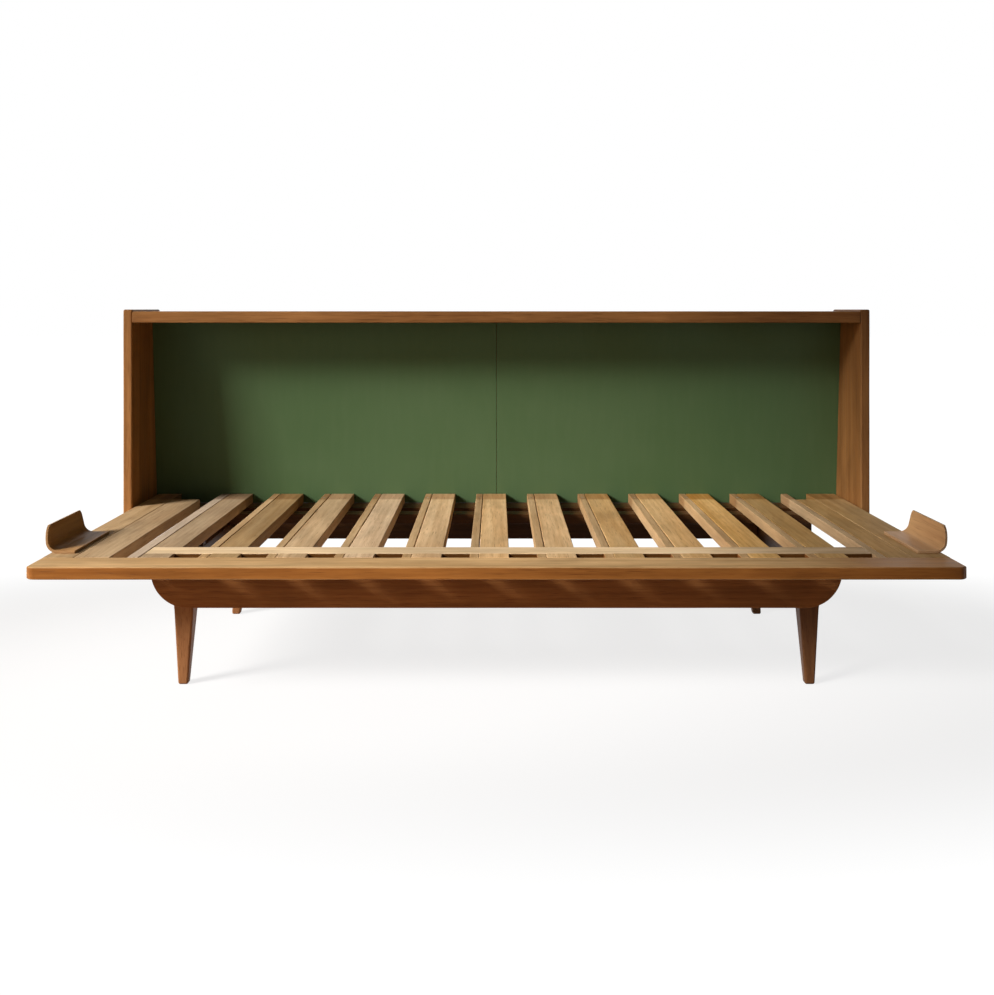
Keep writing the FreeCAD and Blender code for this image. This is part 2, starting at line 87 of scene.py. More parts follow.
# Where most values of a noise pattern lie.
NOISE_RANGE = (0.3, 0.7)
PLAIN_WHITE = (1.0, 1.0, 1.0)


class Axis(Enum):
    """The frame's directions; a board runs along one of them."""

    X = 0
    Y = 1
    Z = 2


class Side(Enum):
    """The two ends of the daybed, with the sign of X there."""

    LEFT = -1
    RIGHT = 1

    @property
    def word(self) -> str:
        """The side's name as the frame's nodes spell it."""
        return self.name.lower()


EDGE_KINDS = ("end_board", "outer_slat", "edge_strip")
EDGE_BOARDS = [f"{kind}_{side.word}" for kind in EDGE_KINDS for side in Side]
DECK_SLATS = [f"deck_slat_{number:02d}" for number in range(1, SLAT_COUNT + 1)]
FIXED_SLATS = [f"fixed_slat_{number:02d}" for number in range(1, SLAT_COUNT)]


def span(node: str, axis: Axis) -> Span:
    """Give the low and high bound of a frame node along one axis."""
    low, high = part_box(node)
    return low[axis.value], high[axis.value]


def spans(node: str, first: Axis = Axis.X) -> list[Span]:
    """Give a frame node's bounds along all three axes, from one axis on."""
    return [span(node, Axis((first.value + step) % 3)) for step in range(3)]


def middle(node: str, axis: Axis) -> float:
    """Give the middle of a frame node along one axis."""
    return sum(span(node, axis)) / 2.0


def linked(name: str, data: bpy.types.ID) -> bpy.types.Object:
    """Make an object of its data and put it into the scene."""
    made = bpy.data.objects.new(name, data)
    bpy.context.scene.collection.objects.link(made)
    return made


def slow_noise(where: Array, seed: int) -> Array:
    """Sum a few seeded sine waves of rising frequency into a smooth wander.

    Args:
        where: Positions along a board in metres.
        seed: Choice of the wander.

    Returns:
        Values of about -1 to 1, one for each position.
    """
    draw = np.random.default_rng(seed)
    order = np.arange(1, WANDER_WAVES + 1)
    turns = draw.uniform(*WANDER_SPREAD, WANDER_WAVES) * order * WANDER_TURN
    phases = draw.uniform(0.0, 2.0 * math.pi, WANDER_WAVES)
    shares = 1.0 / order
    swings = np.sin(np.multiply.outer(where, turns) + phases) * shares
    return swings.sum(-1) / shares.sum()


@dataclass
class Surface:
    """A closed surface before it becomes a mesh.

    Attributes:
        points: Vertex places, one row each.
        normals: Vertex normals, one row each.
        faces: Vertex numbers of each face.
        grain: Place of each vertex in the board: along, across and through.
        arris: How far each vertex lies on a rounded edge, 0 to 1.
        rim: How far each vertex faces sideways out of the board's thickness, 0 to 1.
    """

    points: Array
    normals: Array
    faces: list[list[int]]
    grain: Array
    arris: Array
    rim: Array


@dataclass
class Sweep:
    """A rounded rectangle carried along a path.

    Attributes:
        path: Path points, one row for each station.
        across: Direction of the rectangle's first side at each station.
        up: Direction of its second side; across times up points along the path.
        sides: Low and high bound along across, one row for each station.
        heights: Low and high bound along up, one row for each station.
        edge: Radius of the four arrises, one row for each station.
        sloped: Whether the normals follow the change of the bounds along the path.
    """

    path: Array
    across: Array
    up: Array
    sides: Array
    heights: Array
    edge: Array
    sloped: bool = False

    @property
    def run(self) -> Array:
        """The distance of each station along the path."""
        steps = np.linalg.norm(np.diff(self.path, axis=0), axis=1)
        return np.concatenate(([0.0], np.cumsum(steps)))

    def slopes(self, bounds: Array) -> Array:
        """Give the bounds' rise for each metre of path, or zeros where normals ignore it."""
        return np.gradient(bounds, self.run, axis=0) if self.sloped else np.zeros_like(bounds)

    def surface(self) -> Surface:
        """Work out the closed surface of the carried profile.

        A ring's point is the path point, plus the core corner of the rectangle, plus the arris
        radius times the unit direction at the corner's angle. At both ends the radius shrinks by
        the cosine of an end angle while the ring moves on by its sine, down to four points.

        Returns:
            The surface, with normals pointing outwards.
        """
        ends = np.radians(END_STEPS)
        count = len(self.path)
        rows = np.concatenate(([0] * len(ends), np.arange(count), [count - 1] * len(ends)))
        lift = np.concatenate((-ends[::-1], np.zeros(count), ends))[:, None, None]
        cos, sin = np.cos(ANGLES), np.sin(ANGLES)
        shrink, push = np.cos(lift), np.sin(lift)
        forward = np.cross(self.across, self.up)
        core_a = self.sides[:, FIRST] - (2 * FIRST - 1) * self.edge
        core_u = self.heights[:, SECOND] - (2 * SECOND - 1) * self.edge
        edge = self.edge[rows][..., None]
        part_a = core_a[rows][..., None] + edge * shrink * cos
        part_u = core_u[rows][..., None] + edge * shrink * sin
        part_f = edge * push + np.zeros_like(ANGLES)
        path, across, up, ahead = (
            part[rows][:, None, None, :] for part in (self.path, self.across, self.up, forward)
        )
        rings = path + part_a[..., None] * across + part_u[..., None] * up
        rings = rings + part_f[..., None] * ahead
        tilt = (
            cos * self.slopes(self.sides)[rows][:, FIRST][..., None]
            + sin * self.slopes(self.heights)[rows][:, SECOND][..., None]
        )
        facing = shrink[..., None] * (cos[..., None] * across + sin[..., None] * up)
        facing = facing + (push - tilt)[..., None] * ahead
        facing /= np.linalg.norm(facing, axis=-1, keepdims=True)
        caps, cap_normals = [], []
        for row, way in ((0, -1.0), (-1, 1.0)):
            caps.append(
                self.path[row] + core_a[row][:, None] * self.across[row]
                + core_u[row][:, None] * self.up[row] + way * self.edge[row][:, None] * forward[row]
            )
            cap_normals.append(np.repeat(way * forward[row][None, :], 4, axis=0))
        points = np.concatenate((caps[0], rings.reshape(-1, 3), caps[1]))
        normals = np.concatenate((cap_normals[0], facing.reshape(-1, 3), cap_normals[1]))
        marks = self.marks(rows, lift, part_a, part_u)
        return Surface(points, normals, ring_faces(len(rows)), *marks)

    def marks(self, rows: Array, lift: Array, part_a: Array, part_u: Array) -> tuple[Array, ...]:
        """Work out the grain place, arris and rim of every vertex.

        Args:
            rows: Station of each ring.
            lift: End angle of each ring.
            part_a: Place along across of each ring point.
            part_u: Place along up of each ring point.

        Returns:
            Grain places, arris values and rim values.
        """
        along = self.run[rows][:, None, None] + np.zeros_like(part_a)
        grain = np.stack((along, part_a, part_u), -1).reshape(-1, 3)
        arris = np.abs(np.sin(2.0 * ANGLES)) + np.abs(np.sin(2.0 * lift))
        rim = 1.0 - np.abs(np.sin(ANGLES)) * np.cos(lift)
        picks = np.arange(4) * CORNER_STEPS
        flat = np.zeros(4)
        return (
            np.concatenate((grain[picks], grain, grain[-RING:][picks])),
            np.concatenate((flat, np.clip(arris, 0.0, 1.0).ravel(), flat)),
            np.concatenate((flat + 1.0, rim.ravel(), flat + 1.0)),
        )


def ring_faces(rings: int) -> list[list[int]]:
    """Number the faces between rings of corner points, with four points as each end.

    Args:
        rings: Number of whole rings.

    Returns:
        Triangles and quads with outward order.
    """
    here = np.arange(RING)
    after = (here + 1) % RING
    starts = 4 + RING * np.arange(rings - 1)[:, None]
    ahead = starts + RING
    body = np.stack((starts + here, starts + after, ahead + after, ahead + here), -1)
    last = 4 + RING * (rings - 1)
    close = last + RING
    group = here // CORNER_STEPS
    following = (group + 1) % 4
    inside = here % CORNER_STEPS < CORNER_STEPS - 1
    parts = (
        body.reshape(-1, 4),
        np.stack((group, 4 + after, 4 + here), -1)[inside],
        np.stack((group, following, 4 + after, 4 + here), -1)[~inside],
        np.stack((last + here, last + after, close + group), -1)[inside],
        np.stack((last + here, last + after, close + following, close + group), -1)[~inside],
    )
    faces = [face for part in parts for face in part.tolist()]
    return faces + [[3, 2, 1, 0], [close, close + 1, close + 2, close + 3]]


@dataclass(frozen=True)
class Arris:
    """How the long edges of a board are eased.

    Attributes:
        radius: Mean radius of the edge.
        uneven: Share by which hand work lets it vary.
        wander: How far a sawn side leaves its straight line.
    """

    radius: float
    uneven: float = 0.3
    wander: float = 0.0002


@dataclass(frozen=True)
class Wear:
    """How far use has worn the varnish off a board's upper face.

    Attributes:
        share: Share of the varnish that is gone.
        end: Distance along the board at which the worn part ends.
        fade: Length over which it ends.
        rest: Share of the wear that is left beyond.
        sides: Share of the wear that its left and right faces have.
    """

    share: float = 1.0
    end: float = 9.0
    fade: float = 0.02
    rest: float = 1.0
    sides: float = 0.0

    def along(self, places: Array) -> Array:
        """Give the wear, 0 to 1, at distances from the board's start."""
        beyond = np.clip((places - self.end) / self.fade, 0.0, 1.0)
        return self.share * (1.0 - (1.0 - self.rest) * beyond)


UNWORN = Wear(0.0)


def board_stations(run: Span, edge: float) -> Array:
    """Spread rings evenly along a board between the arrises of its ends."""
    count = max(4, int((run[1] - run[0]) / RING_PITCH))
    return np.linspace(run[0] + edge, run[1] - edge, count)


def worn_stations(run: Span, edge: float, wear: Wear) -> Array:
    """Spread rings along a board, with two more where its wear ends.

    Args:
        run: The board's two ends.
        edge: Radius of its arris.
        wear: How far its upper face is worn.

    Returns:
        The places of the rings, in order.
    """
    stations = board_stations(run, edge)
    ends = stations[0] + np.array([wear.end, wear.end + wear.fade])
    return np.sort(np.concatenate((stations, ends[ends < stations[-1] - edge])))


def straight_board(
    axis: Axis, bounds: list[Span], arris: Arris, seed: int, stations: Array | None = None
) -> Sweep:
    """Lay out a straight board: its rectangle is carried along one axis of the frame.

    Args:
        axis: Direction of the board.
        bounds: Its two ends, and its bounds along the next axis and the one after that.
        arris: How its edges are eased.
        seed: Choice of the wander.
        stations: Places of the rings, or none for an even spread.

    Returns:
        The sweep of the board.
    """
    length, sides, heights = bounds
    if stations is None:
        stations = board_stations(length, arris.radius)
    count = len(stations)
    ahead, across, up = np.roll(np.eye(3), -axis.value, axis=0)
    drift = arris.wander * np.stack([slow_noise(stations, seed + k) for k in range(4)], -1)
    inset = np.minimum(stations - stations[0], stations[-1] - stations)
    inner = np.clip(inset / EASE_IN, 0.0, 1.0)[:, None]
    edge_seed = seed + EDGE_SEED
    uneven = np.stack([slow_noise(stations * EDGE_PACE, edge_seed + k) for k in range(4)], -1)
    inward = np.array([1.0, -1.0])
    return Sweep(
        stations[:, None] * ahead,
        np.repeat(across[None], count, axis=0),
        np.repeat(up[None], count, axis=0),
        np.array(sides) + inward * np.abs(drift[:, :2]),
        np.array(heights) + inward * np.abs(drift[:, 2:]),
        arris.radius * (1.0 + arris.uneven * inner * uneven),
    )


def round_ended(
    node: str, corner: float, tip: float, counts: tuple[int, int], arris: Arris, seed: int
) -> tuple[Sweep, Array]:
    """Lay out a board along X with rings for a rounded corner at both ends.

    Args:
        node: The frame node that it stands for.
        corner: Radius of the corners.
        tip: Arris at the ends, where the first and last ring lie.
        counts: Rings of each corner and of the straight part.
        arris: How its edges are eased.
        seed: Choice of the wander.

    Returns:
        The sweep, and the distance of each ring from the nearer end.
    """
    bounds = spans(node)
    low, high = bounds[0]
    turn = np.linspace(math.acos(1.0 - tip / corner), QUARTER, counts[0])
    bend = low + corner * (1.0 - np.cos(turn))
    straight = np.linspace(bend[-1] + EASE_IN, -bend[-1] - EASE_IN, counts[1])
    stations = np.concatenate((bend, straight, -bend[::-1]))
    sweep = straight_board(Axis.X, bounds, arris, seed, stations)
    sweep.sloped = True
    return sweep, high - np.abs(stations)


def corner_inset(below: Array, radius: float) -> Array:
    """Give how far a quarter circle draws in at distances below its top."""
    reach = np.clip(radius - below, 0.0, radius)
    return radius - np.sqrt(radius**2 - reach**2)


def stepped(bounds: Span, low_part: Span, low_top: float, stations: Array) -> Array:
    """Give the low and high bound at each station, with the top lowered over one part.

    Args:
        bounds: Low and high bound elsewhere.
        low_part: Start and end of the lowered part; a station on its edge is met twice.
        low_top: High bound in the lowered part.
        stations: Places along the board, in order, with both edges doubled.

    Returns:
        One row of bounds for each station.
    """
    order = np.arange(len(stations))
    start, end = low_part[0] - TOUCH, low_part[1] + TOUCH
    inside = (stations > start) & (stations < end)
    inside &= order > np.searchsorted(stations, start)
    inside &= order < np.searchsorted(stations, end) - 1
    return np.stack((np.full(len(stations), bounds[0]), np.where(inside, low_top, bounds[1])), -1)


def joined(parts: list[Surface]) -> Surface:
    """Put several closed surfaces into one.

    Args:
        parts: The surfaces.

    Returns:
        One surface with all their vertices and faces.
    """
    counts = np.cumsum([0] + [len(part.points) for part in parts]).tolist()
    faces = [
        [number + shift for number in face]
        for part, shift in zip(parts, counts) for face in part.faces
    ]
    points, normals, *marks = (
        np.concatenate([getattr(part, key) for part in parts])
        for key in ("points", "normals", "grain", "arris", "rim")
    )
    return Surface(points, normals, faces, *marks)


class Nodes:
    """The nodes of a material or of the surroundings, with short calls for the usual ones."""

    def __init__(self, owner: Material | bpy.types.World) -> None:
        """Start with an empty tree."""
        owner.use_nodes = True
        self.tree = owner.node_tree
        self.tree.nodes.clear()

    def node(self, kind: str, inputs: dict | None = None, **settings: object) -> bpy.types.Node:
        """Add a node, set its properties and feed its inputs.

        Args:
            kind: Blender's name of the node type.
            inputs: Socket, number or colour for each input, by name or number.
            **settings: Properties of the node.

        Returns:
            The node.
        """
        made = self.tree.nodes.new(kind)
        for key, value in settings.items():
            setattr(made, key, value)
        for key, value in (inputs or {}).items():
            self.feed(made.inputs[key], value)
        return made

    def feed(self, socket: Socket, value: object) -> None:
        """Link an input to a socket, or set its own number or colour.

        Args:
            socket: The input.
            value: A socket, a number or a colour.
        """
        if isinstance(value, Socket):
            self.tree.links.new(value, socket)
        elif isinstance(value, tuple) and len(value) == 3 and socket.type == "RGBA":
            socket.default_value = (*value, 1.0)
        else:
            socket.default_value = value

    def math(self, operation: str, first: object, second: object = 0.0) -> Socket:
        """Combine two numbers by an operation."""
        return self.node("ShaderNodeMath", {0: first, 1: second}, operation=operation).outputs[0]

    def mix(self, share: object, first: object, second: object, blend: str = "MIX") -> Socket:
        """Lay a share of the second colour over the first."""
        inputs = {0: share, 6: first, 7: second}
        return self.node("ShaderNodeMix", inputs, data_type="RGBA", blend_type=blend).outputs[2]

    def spread(self, value: Socket, source: Span, target: Span = (0.0, 1.0)) -> Socket:
        """Map a number from one range to another, smoothly and clamped."""
        inputs = dict(enumerate((value, *source, *target)))
        return self.node("ShaderNodeMapRange", inputs, interpolation_type="SMOOTHSTEP").outputs[0]

    def noise(self, place: Socket, scale: float, detail: float = 2.0, bend: float = 0.0) -> Socket:
        """Draw a noise pattern with so many cells for each metre."""
        inputs = {"Vector": place, "Scale": scale, "Detail": detail, "Distortion": bend}
        return self.node("ShaderNodeTexNoise", inputs).outputs[0]

    def stretched(self, place: Socket, scale: Colour) -> Socket:
        """Stretch coordinates by a factor for each axis."""
        return self.node("ShaderNodeMapping", {"Vector": place, "Scale": scale}).outputs[0]

    def place(self) -> Socket:
        """Read object coordinates."""
        return self.node("ShaderNodeTexCoord").outputs["Object"]

    def direct_rays(self) -> Socket:
        """Give 1 for rays of the camera, of reflections and through glass, and 0 for others."""
        path = self.node("ShaderNodeLightPath").outputs
        either = self.math("MAXIMUM", path["Is Camera Ray"], path["Is Glossy Ray"])
        return self.math("MAXIMUM", either, path["Is Transmission Ray"])

    def close(self, kind: str, surface: Socket) -> None:
        """End the tree with an output node of a kind."""
        self.node(kind, {"Surface": surface})

    def close_mixed(
        self, kind: str, share: Socket, first: bpy.types.Node, second: bpy.types.Node
    ) -> None:
        """End the tree with a share of the second shader over the first."""
        inputs = {0: share, 1: first.outputs[0], 2: second.outputs[0]}
        self.close(kind, self.node("ShaderNodeMixShader", inputs).outputs[0])


class Shader(Nodes):
    """The nodes of a piece's material, around one surface shader."""

    def __init__(self, name: str) -> None:
        """Start a material of this name."""
        self.material = bpy.data.materials.new(name)
        super().__init__(self.material)
        self.surface = self.node("ShaderNodeBsdfPrincipled")
        self.close("ShaderNodeOutputMaterial", self.surface.outputs[0])

    def mark(self, name: str, vector: bool = False) -> Socket:
        """Read one of a piece's own attributes."""
        made = self.node("ShaderNodeAttribute", attribute_name=name)
        return made.outputs["Vector" if vector else "Fac"]

    def toned(self, colour: Socket, value: object = 1.0) -> Socket:
        """Shift a colour by the tone and paleness of the piece.

        Args:
            colour: The colour.
            value: A further factor of its brightness.

        Returns:
            The shifted colour.
        """
        tone = self.math("ADD", self.mark("tone"), 1.0)
        return self.node("ShaderNodeHueSaturation", {
            "Color": colour,
            "Saturation": self.math("SUBTRACT", 1.0, self.mark("pale")),
            "Value": self.math("MULTIPLY", tone, value),
        }).outputs[0]

    def bump(self, height: Socket, depth: float, strength: float) -> None:
        """Raise the surface by a share of a height pattern, with so many metres for one."""
        inputs = {"Strength": strength, "Distance": depth, "Height": height}
        self.feed(self.surface.inputs["Normal"], self.node("ShaderNodeBump", inputs).outputs[0])

    def finish(
        self, colour: Socket, roughness: Socket, metal: float = 0.0, specular: float = 0.5
    ) -> Material:
        """Set the surface and hand the material over.

        Args:
            colour: Its colour.
            roughness: Its roughness.
            metal: Metallic share.
            specular: Level of the dielectric reflection.

        Returns:
            The material.
        """
        for key, value in {
            "Base Color": colour,
            "Roughness": roughness,
            "Metallic": metal,
            "Specular IOR Level": specular,
        }.items():
            self.feed(self.surface.inputs[key], value)
        return self.material


class Finish(ABC):
    """A finish that can be made into a material."""

    @abstractmethod
    def material(self) -> Material:
        """Make the material, or give the one made before."""


@dataclass(frozen=True)
class OakFinish(Finish):
    """Old oak: varnished sides, and faces that use has worn back to the bare wood.

    Attributes:
        name: Name of the material.
        bare_light: Bare early wood.
        bare_dark: Bare late wood.
        varnish_light: Varnished early wood.
        varnish_dark: Varnished late wood.
        gloss: Roughness of the varnish.
        rings: Scale of the growth rings.
        streaks: Scale of the broad streaks.
        fibre: Scale of the fibres.
        pore: Scale of the pores.
        blotches: Scale of the patches that wear leaves.
        mottling: Scale of the uneven brightness.
        bare_rough: Roughness of the bare wood.
        relief: Height of the fibres over the pores.
        pore_shade: Colour that the open pores are darkened by.
    """

    name: str
    bare_light: Colour
    bare_dark: Colour
    varnish_light: Colour
    varnish_dark: Colour
    gloss: float = 0.42
    rings: float = 26.0
    streaks: float = 34.0
    fibre: float = 300.0
    pore: float = 620.0
    blotches: float = 7.0
    mottling: float = 13.0
    bare_rough: float = 0.68
    relief: float = 0.00035
    pore_shade: Colour = (0.42, 0.34, 0.27)

    @cache
    def material(self) -> Material:
        """Mix rings, streaks, fibres and pores that run along the board's own grain.

        Returns:
            The material.
        """
        made = Shader(self.name)
        figure, fibres, pores, blotch = self.figure(made)
        rubbed_patch = made.spread(blotch, (0.42, 0.68), (0.05, 0.55))
        rubbed = made.math("MULTIPLY", made.mark("arris"), rubbed_patch)
        worn_patch = made.spread(blotch, (0.25, 0.55), (0.78, 1.0))
        patchy = made.math("MULTIPLY", made.mark("worn"), worn_patch)
        bare_share = made.math("MAXIMUM", patchy, rubbed)
        bare = made.mix(figure, self.bare_dark, self.bare_light)
        varnish = made.mix(figure, self.varnish_dark, self.varnish_light)
        colour = made.mix(bare_share, varnish, bare)
        place = made.stretched(made.mark("grain", vector=True), (0.3, 1.0, 1.0))
        mottle = made.noise(place, self.mottling, 3.0, 0.6)
        colour = made.toned(colour, made.spread(mottle, NOISE_RANGE, (0.84, 1.12)))
        colour = made.mix(made.math("MULTIPLY", pores, 0.55), colour, self.pore_shade, "MULTIPLY")
        rough = made.spread(bare_share, (0.0, 1.0), (self.gloss, self.bare_rough))
        rough = made.math("ADD", rough, made.spread(fibres, NOISE_RANGE, (-0.05, 0.07)))
        height = made.math("SUBTRACT", made.math("MULTIPLY", fibres, 0.5), pores)
        made.bump(height, self.relief, 0.55)
        return made.finish(colour, rough, specular=0.1)

    def figure(self, made: Shader) -> tuple[Socket, ...]:
        """Draw the grain in the board's own coordinates.

        Args:
            made: Shader under construction.

        Returns:
            Figure, fibres, pores and blotches, each 0 to 1.
        """
        grain = made.mark("grain", vector=True)
        long, ringed, longest, short = (
            made.stretched(grain, (share, 1.0, 1.0)) for share in (0.055, 0.16, 0.03, 0.35)
        )
        bend = {"Distortion": 3.2, "Detail": 3.0, "Detail Scale": 0.7}
        wave = made.node(
            "ShaderNodeTexWave", {"Vector": ringed, "Scale": self.rings, **bend},
            wave_type="RINGS", rings_direction="X",
        )
        broad = made.spread(made.noise(long, self.streaks, 3.0, 0.5), (0.28, 0.72))
        fibres = made.noise(long, self.fibre, 2.0)
        fine = made.spread(fibres, NOISE_RANGE)
        pores = made.spread(made.noise(longest, self.pore, 1.0), (0.6, 0.74))
        blotch = made.noise(short, self.blotches, 3.0)
        drawn = made.math("MULTIPLY", broad, 0.5)
        for pattern, share in ((wave.outputs["Fac"], 0.22), (fine, 0.28)):
            drawn = made.math("ADD", drawn, made.math("MULTIPLY", pattern, share))
        return drawn, fibres, pores, blotch


@dataclass(frozen=True)
class PlyFinish(OakFinish):
    """Bent plywood: a veneered face, and a rim that shows the layers.

    Attributes:
        layer_light: Layers cut along their grain.
        layer_dark: Layers cut across it.
        layer_count: Dark and light layers for each metre of thickness.
        veneer_shade: Colour that the veneer's pores are darkened by.
        veneer_relief: Height of the veneer's fibres over its pores.
    """

    layer_light: Colour = (0.42, 0.26, 0.125)
    layer_dark: Colour = (0.20, 0.10, 0.042)
    layer_count: float = 430.0
    veneer_shade: Colour = (0.5, 0.4, 0.32)
    veneer_relief: float = 0.0002

    @cache
    def material(self) -> Material:
        """Lay the rim's layers over the veneer.

        Returns:
            The material.
        """
        made = Shader(self.name)
        figure, fibres, pores, blotch = self.figure(made)
        face = made.mix(figure, self.varnish_dark, self.varnish_light)
        face = made.mix(made.spread(blotch, (0.35, 0.75), (0.0, 0.5)), face, self.bare_light)
        split = made.node("ShaderNodeSeparateXYZ", {0: made.mark("grain", vector=True)})
        turn = made.math("MULTIPLY", split.outputs[2], self.layer_count * 2.0 * math.pi)
        layers = made.spread(made.math("SINE", turn), (-0.5, 0.5))
        rim = made.mix(layers, self.layer_dark, self.layer_light)
        colour = made.toned(made.mix(made.spread(made.mark("rim"), (0.35, 0.7)), face, rim))
        colour = made.mix(made.math("MULTIPLY", pores, 0.4), colour, self.veneer_shade, "MULTIPLY")
        rough = made.spread(fibres, NOISE_RANGE, (self.gloss, self.gloss + 0.12))
        made.bump(made.math("SUBTRACT", fibres, pores), self.veneer_relief, 0.4)
        return made.finish(colour, rough, specular=0.08)


@dataclass(frozen=True)
class PaintFinish(Finish):
    """Rolled paint on thin board, thinner and soiled in places.

    Attributes:
        name: Name of the material.
        coat: Colour of a full coat.
        thin: Colour where it is thin.
        under: Board colour that shows at rubbed edges.
        roughness: Roughness of the coat.
        relief: Height of the roller's stipple.
    """

    name: str
    coat: Colour
    thin: Colour
    under: Colour
    roughness: float = 0.5
    relief: float = 0.0002

    @cache
    def material(self) -> Material:
        """Mix clouding, roller stipple and rubbed edges.

        Returns:
            The material.
        """
        made = Shader(self.name)
        place = made.place()
        clouds = made.noise(place, 3.2, 4.0, 0.4)
        strokes = made.noise(made.stretched(place, (1.0, 1.0, 0.12)), 60.0, 3.0)
        stipple = made.noise(place, 900.0, 2.0)
        clouded = made.spread(clouds, NOISE_RANGE, (0.0, 0.7))
        stroked = made.spread(strokes, (0.4, 0.75), (0.0, 0.3))
        colour = made.mix(made.math("ADD", clouded, stroked), self.coat, self.thin)
        rubbed_patch = made.spread(strokes, (0.45, 0.6), (0.1, 0.8))
        rubbed = made.math("MULTIPLY", made.mark("arris"), rubbed_patch)
        colour = made.mix(rubbed, colour, self.under)
        rough_range = (self.roughness - 0.06, self.roughness + 0.08)
        rough = made.spread(clouds, NOISE_RANGE, rough_range)
        height = made.math("ADD", stipple, made.math("MULTIPLY", strokes, 0.6))
        made.bump(height, self.relief, 0.5)
        return made.finish(colour, rough, specular=0.2)


@dataclass(frozen=True)
class SteelFinish(Finish):
    """Plain steel with a brown bloom of age.

    Attributes:
        name: Name of the material.
        bright: Colour of the clean metal.
        bloom: Colour of the tarnish.
        relief: Height of the turned lines.
    """

    name: str
    bright: Colour
    bloom: Colour
    relief: float = 0.00005

    @cache
    def material(self) -> Material:
        """Mix turned lines and tarnish.

        Returns:
            The material.
        """
        made = Shader(self.name)
        place = made.place()
        tarnish = made.spread(made.noise(place, 260.0, 4.0), (0.42, 0.68))
        lines = made.noise(made.stretched(place, (1.0, 1.0, 0.2)), 1500.0, 1.0)
        colour = made.mix(tarnish, self.bright, self.bloom)
        made.bump(lines, self.relief, 0.4)
        return made.finish(colour, made.spread(tarnish, (0.0, 1.0), (0.34, 0.62)), metal=1.0)


DECK_OAK = OakFinish(
    "deck_oak", (0.66, 0.44, 0.225), (0.45, 0.26, 0.108), (0.33, 0.135, 0.036), (0.19, 0.066, 0.016)
)
SLAT_OAK = OakFinish(
    "slat_oak", (0.68, 0.475, 0.26), (0.47, 0.285, 0.13), (0.33, 0.145, 0.042), (0.19, 0.07, 0.018)
)
# Painted shade: the crossbar's varnish is near black, so its sides seen through the slots and its
# less worn right end are painted dark in place of shade.
CROSSBAR_OAK_PAINTED_SHADE = OakFinish(
    "crossbar_oak_painted_shade",
    (0.86, 0.68, 0.47), (0.68, 0.49, 0.29), (0.10, 0.045, 0.016), (0.05, 0.022, 0.008),
)
BASE_OAK = OakFinish(
    "base_oak", (0.40, 0.21, 0.085), (0.26, 0.12, 0.045), (0.33, 0.145, 0.048), (0.19, 0.07, 0.02)
)
BOX_OAK = OakFinish(
    "box_oak", (0.42, 0.23, 0.095), (0.27, 0.125, 0.045), (0.36, 0.17, 0.058), (0.21, 0.085, 0.025)
)
STOP_PLY = PlyFinish(
    "stop_ply",
    (0.50, 0.295, 0.12), (0.36, 0.18, 0.065), (0.44, 0.235, 0.085), (0.28, 0.123, 0.038),
    gloss=0.38, rings=20.0,
)
GREEN_PAINT = PaintFinish(
    "green_paint", (0.070, 0.126, 0.051), (0.082, 0.138, 0.060), (0.075, 0.07, 0.035)
)
SCREW_STEEL = SteelFinish("screw_steel", (0.52, 0.48, 0.42), (0.20, 0.13, 0.075))


@dataclass(frozen=True)
class Dress:
    """What a piece wears.

    Attributes:
        finish: Its finish.
        slot: The record's material slot; not used.
        tone: How much lighter or darker than the others of its kind it is.
        wear: How far its upper face is worn.
        pale: How much less colour it has than the others of its kind.
    """

    finish: Finish
    slot: str
    tone: float = 0.0
    wear: Wear = UNWORN
    pale: float = 0.0


# Painted shade: the hidden frame boards are darkened to stand in for the shade under the deck and
# in the gaps between the slats.
HIDDEN_WOOD_PAINTED_SHADE = Dress(BASE_OAK, "base_wood", tone=-0.7)


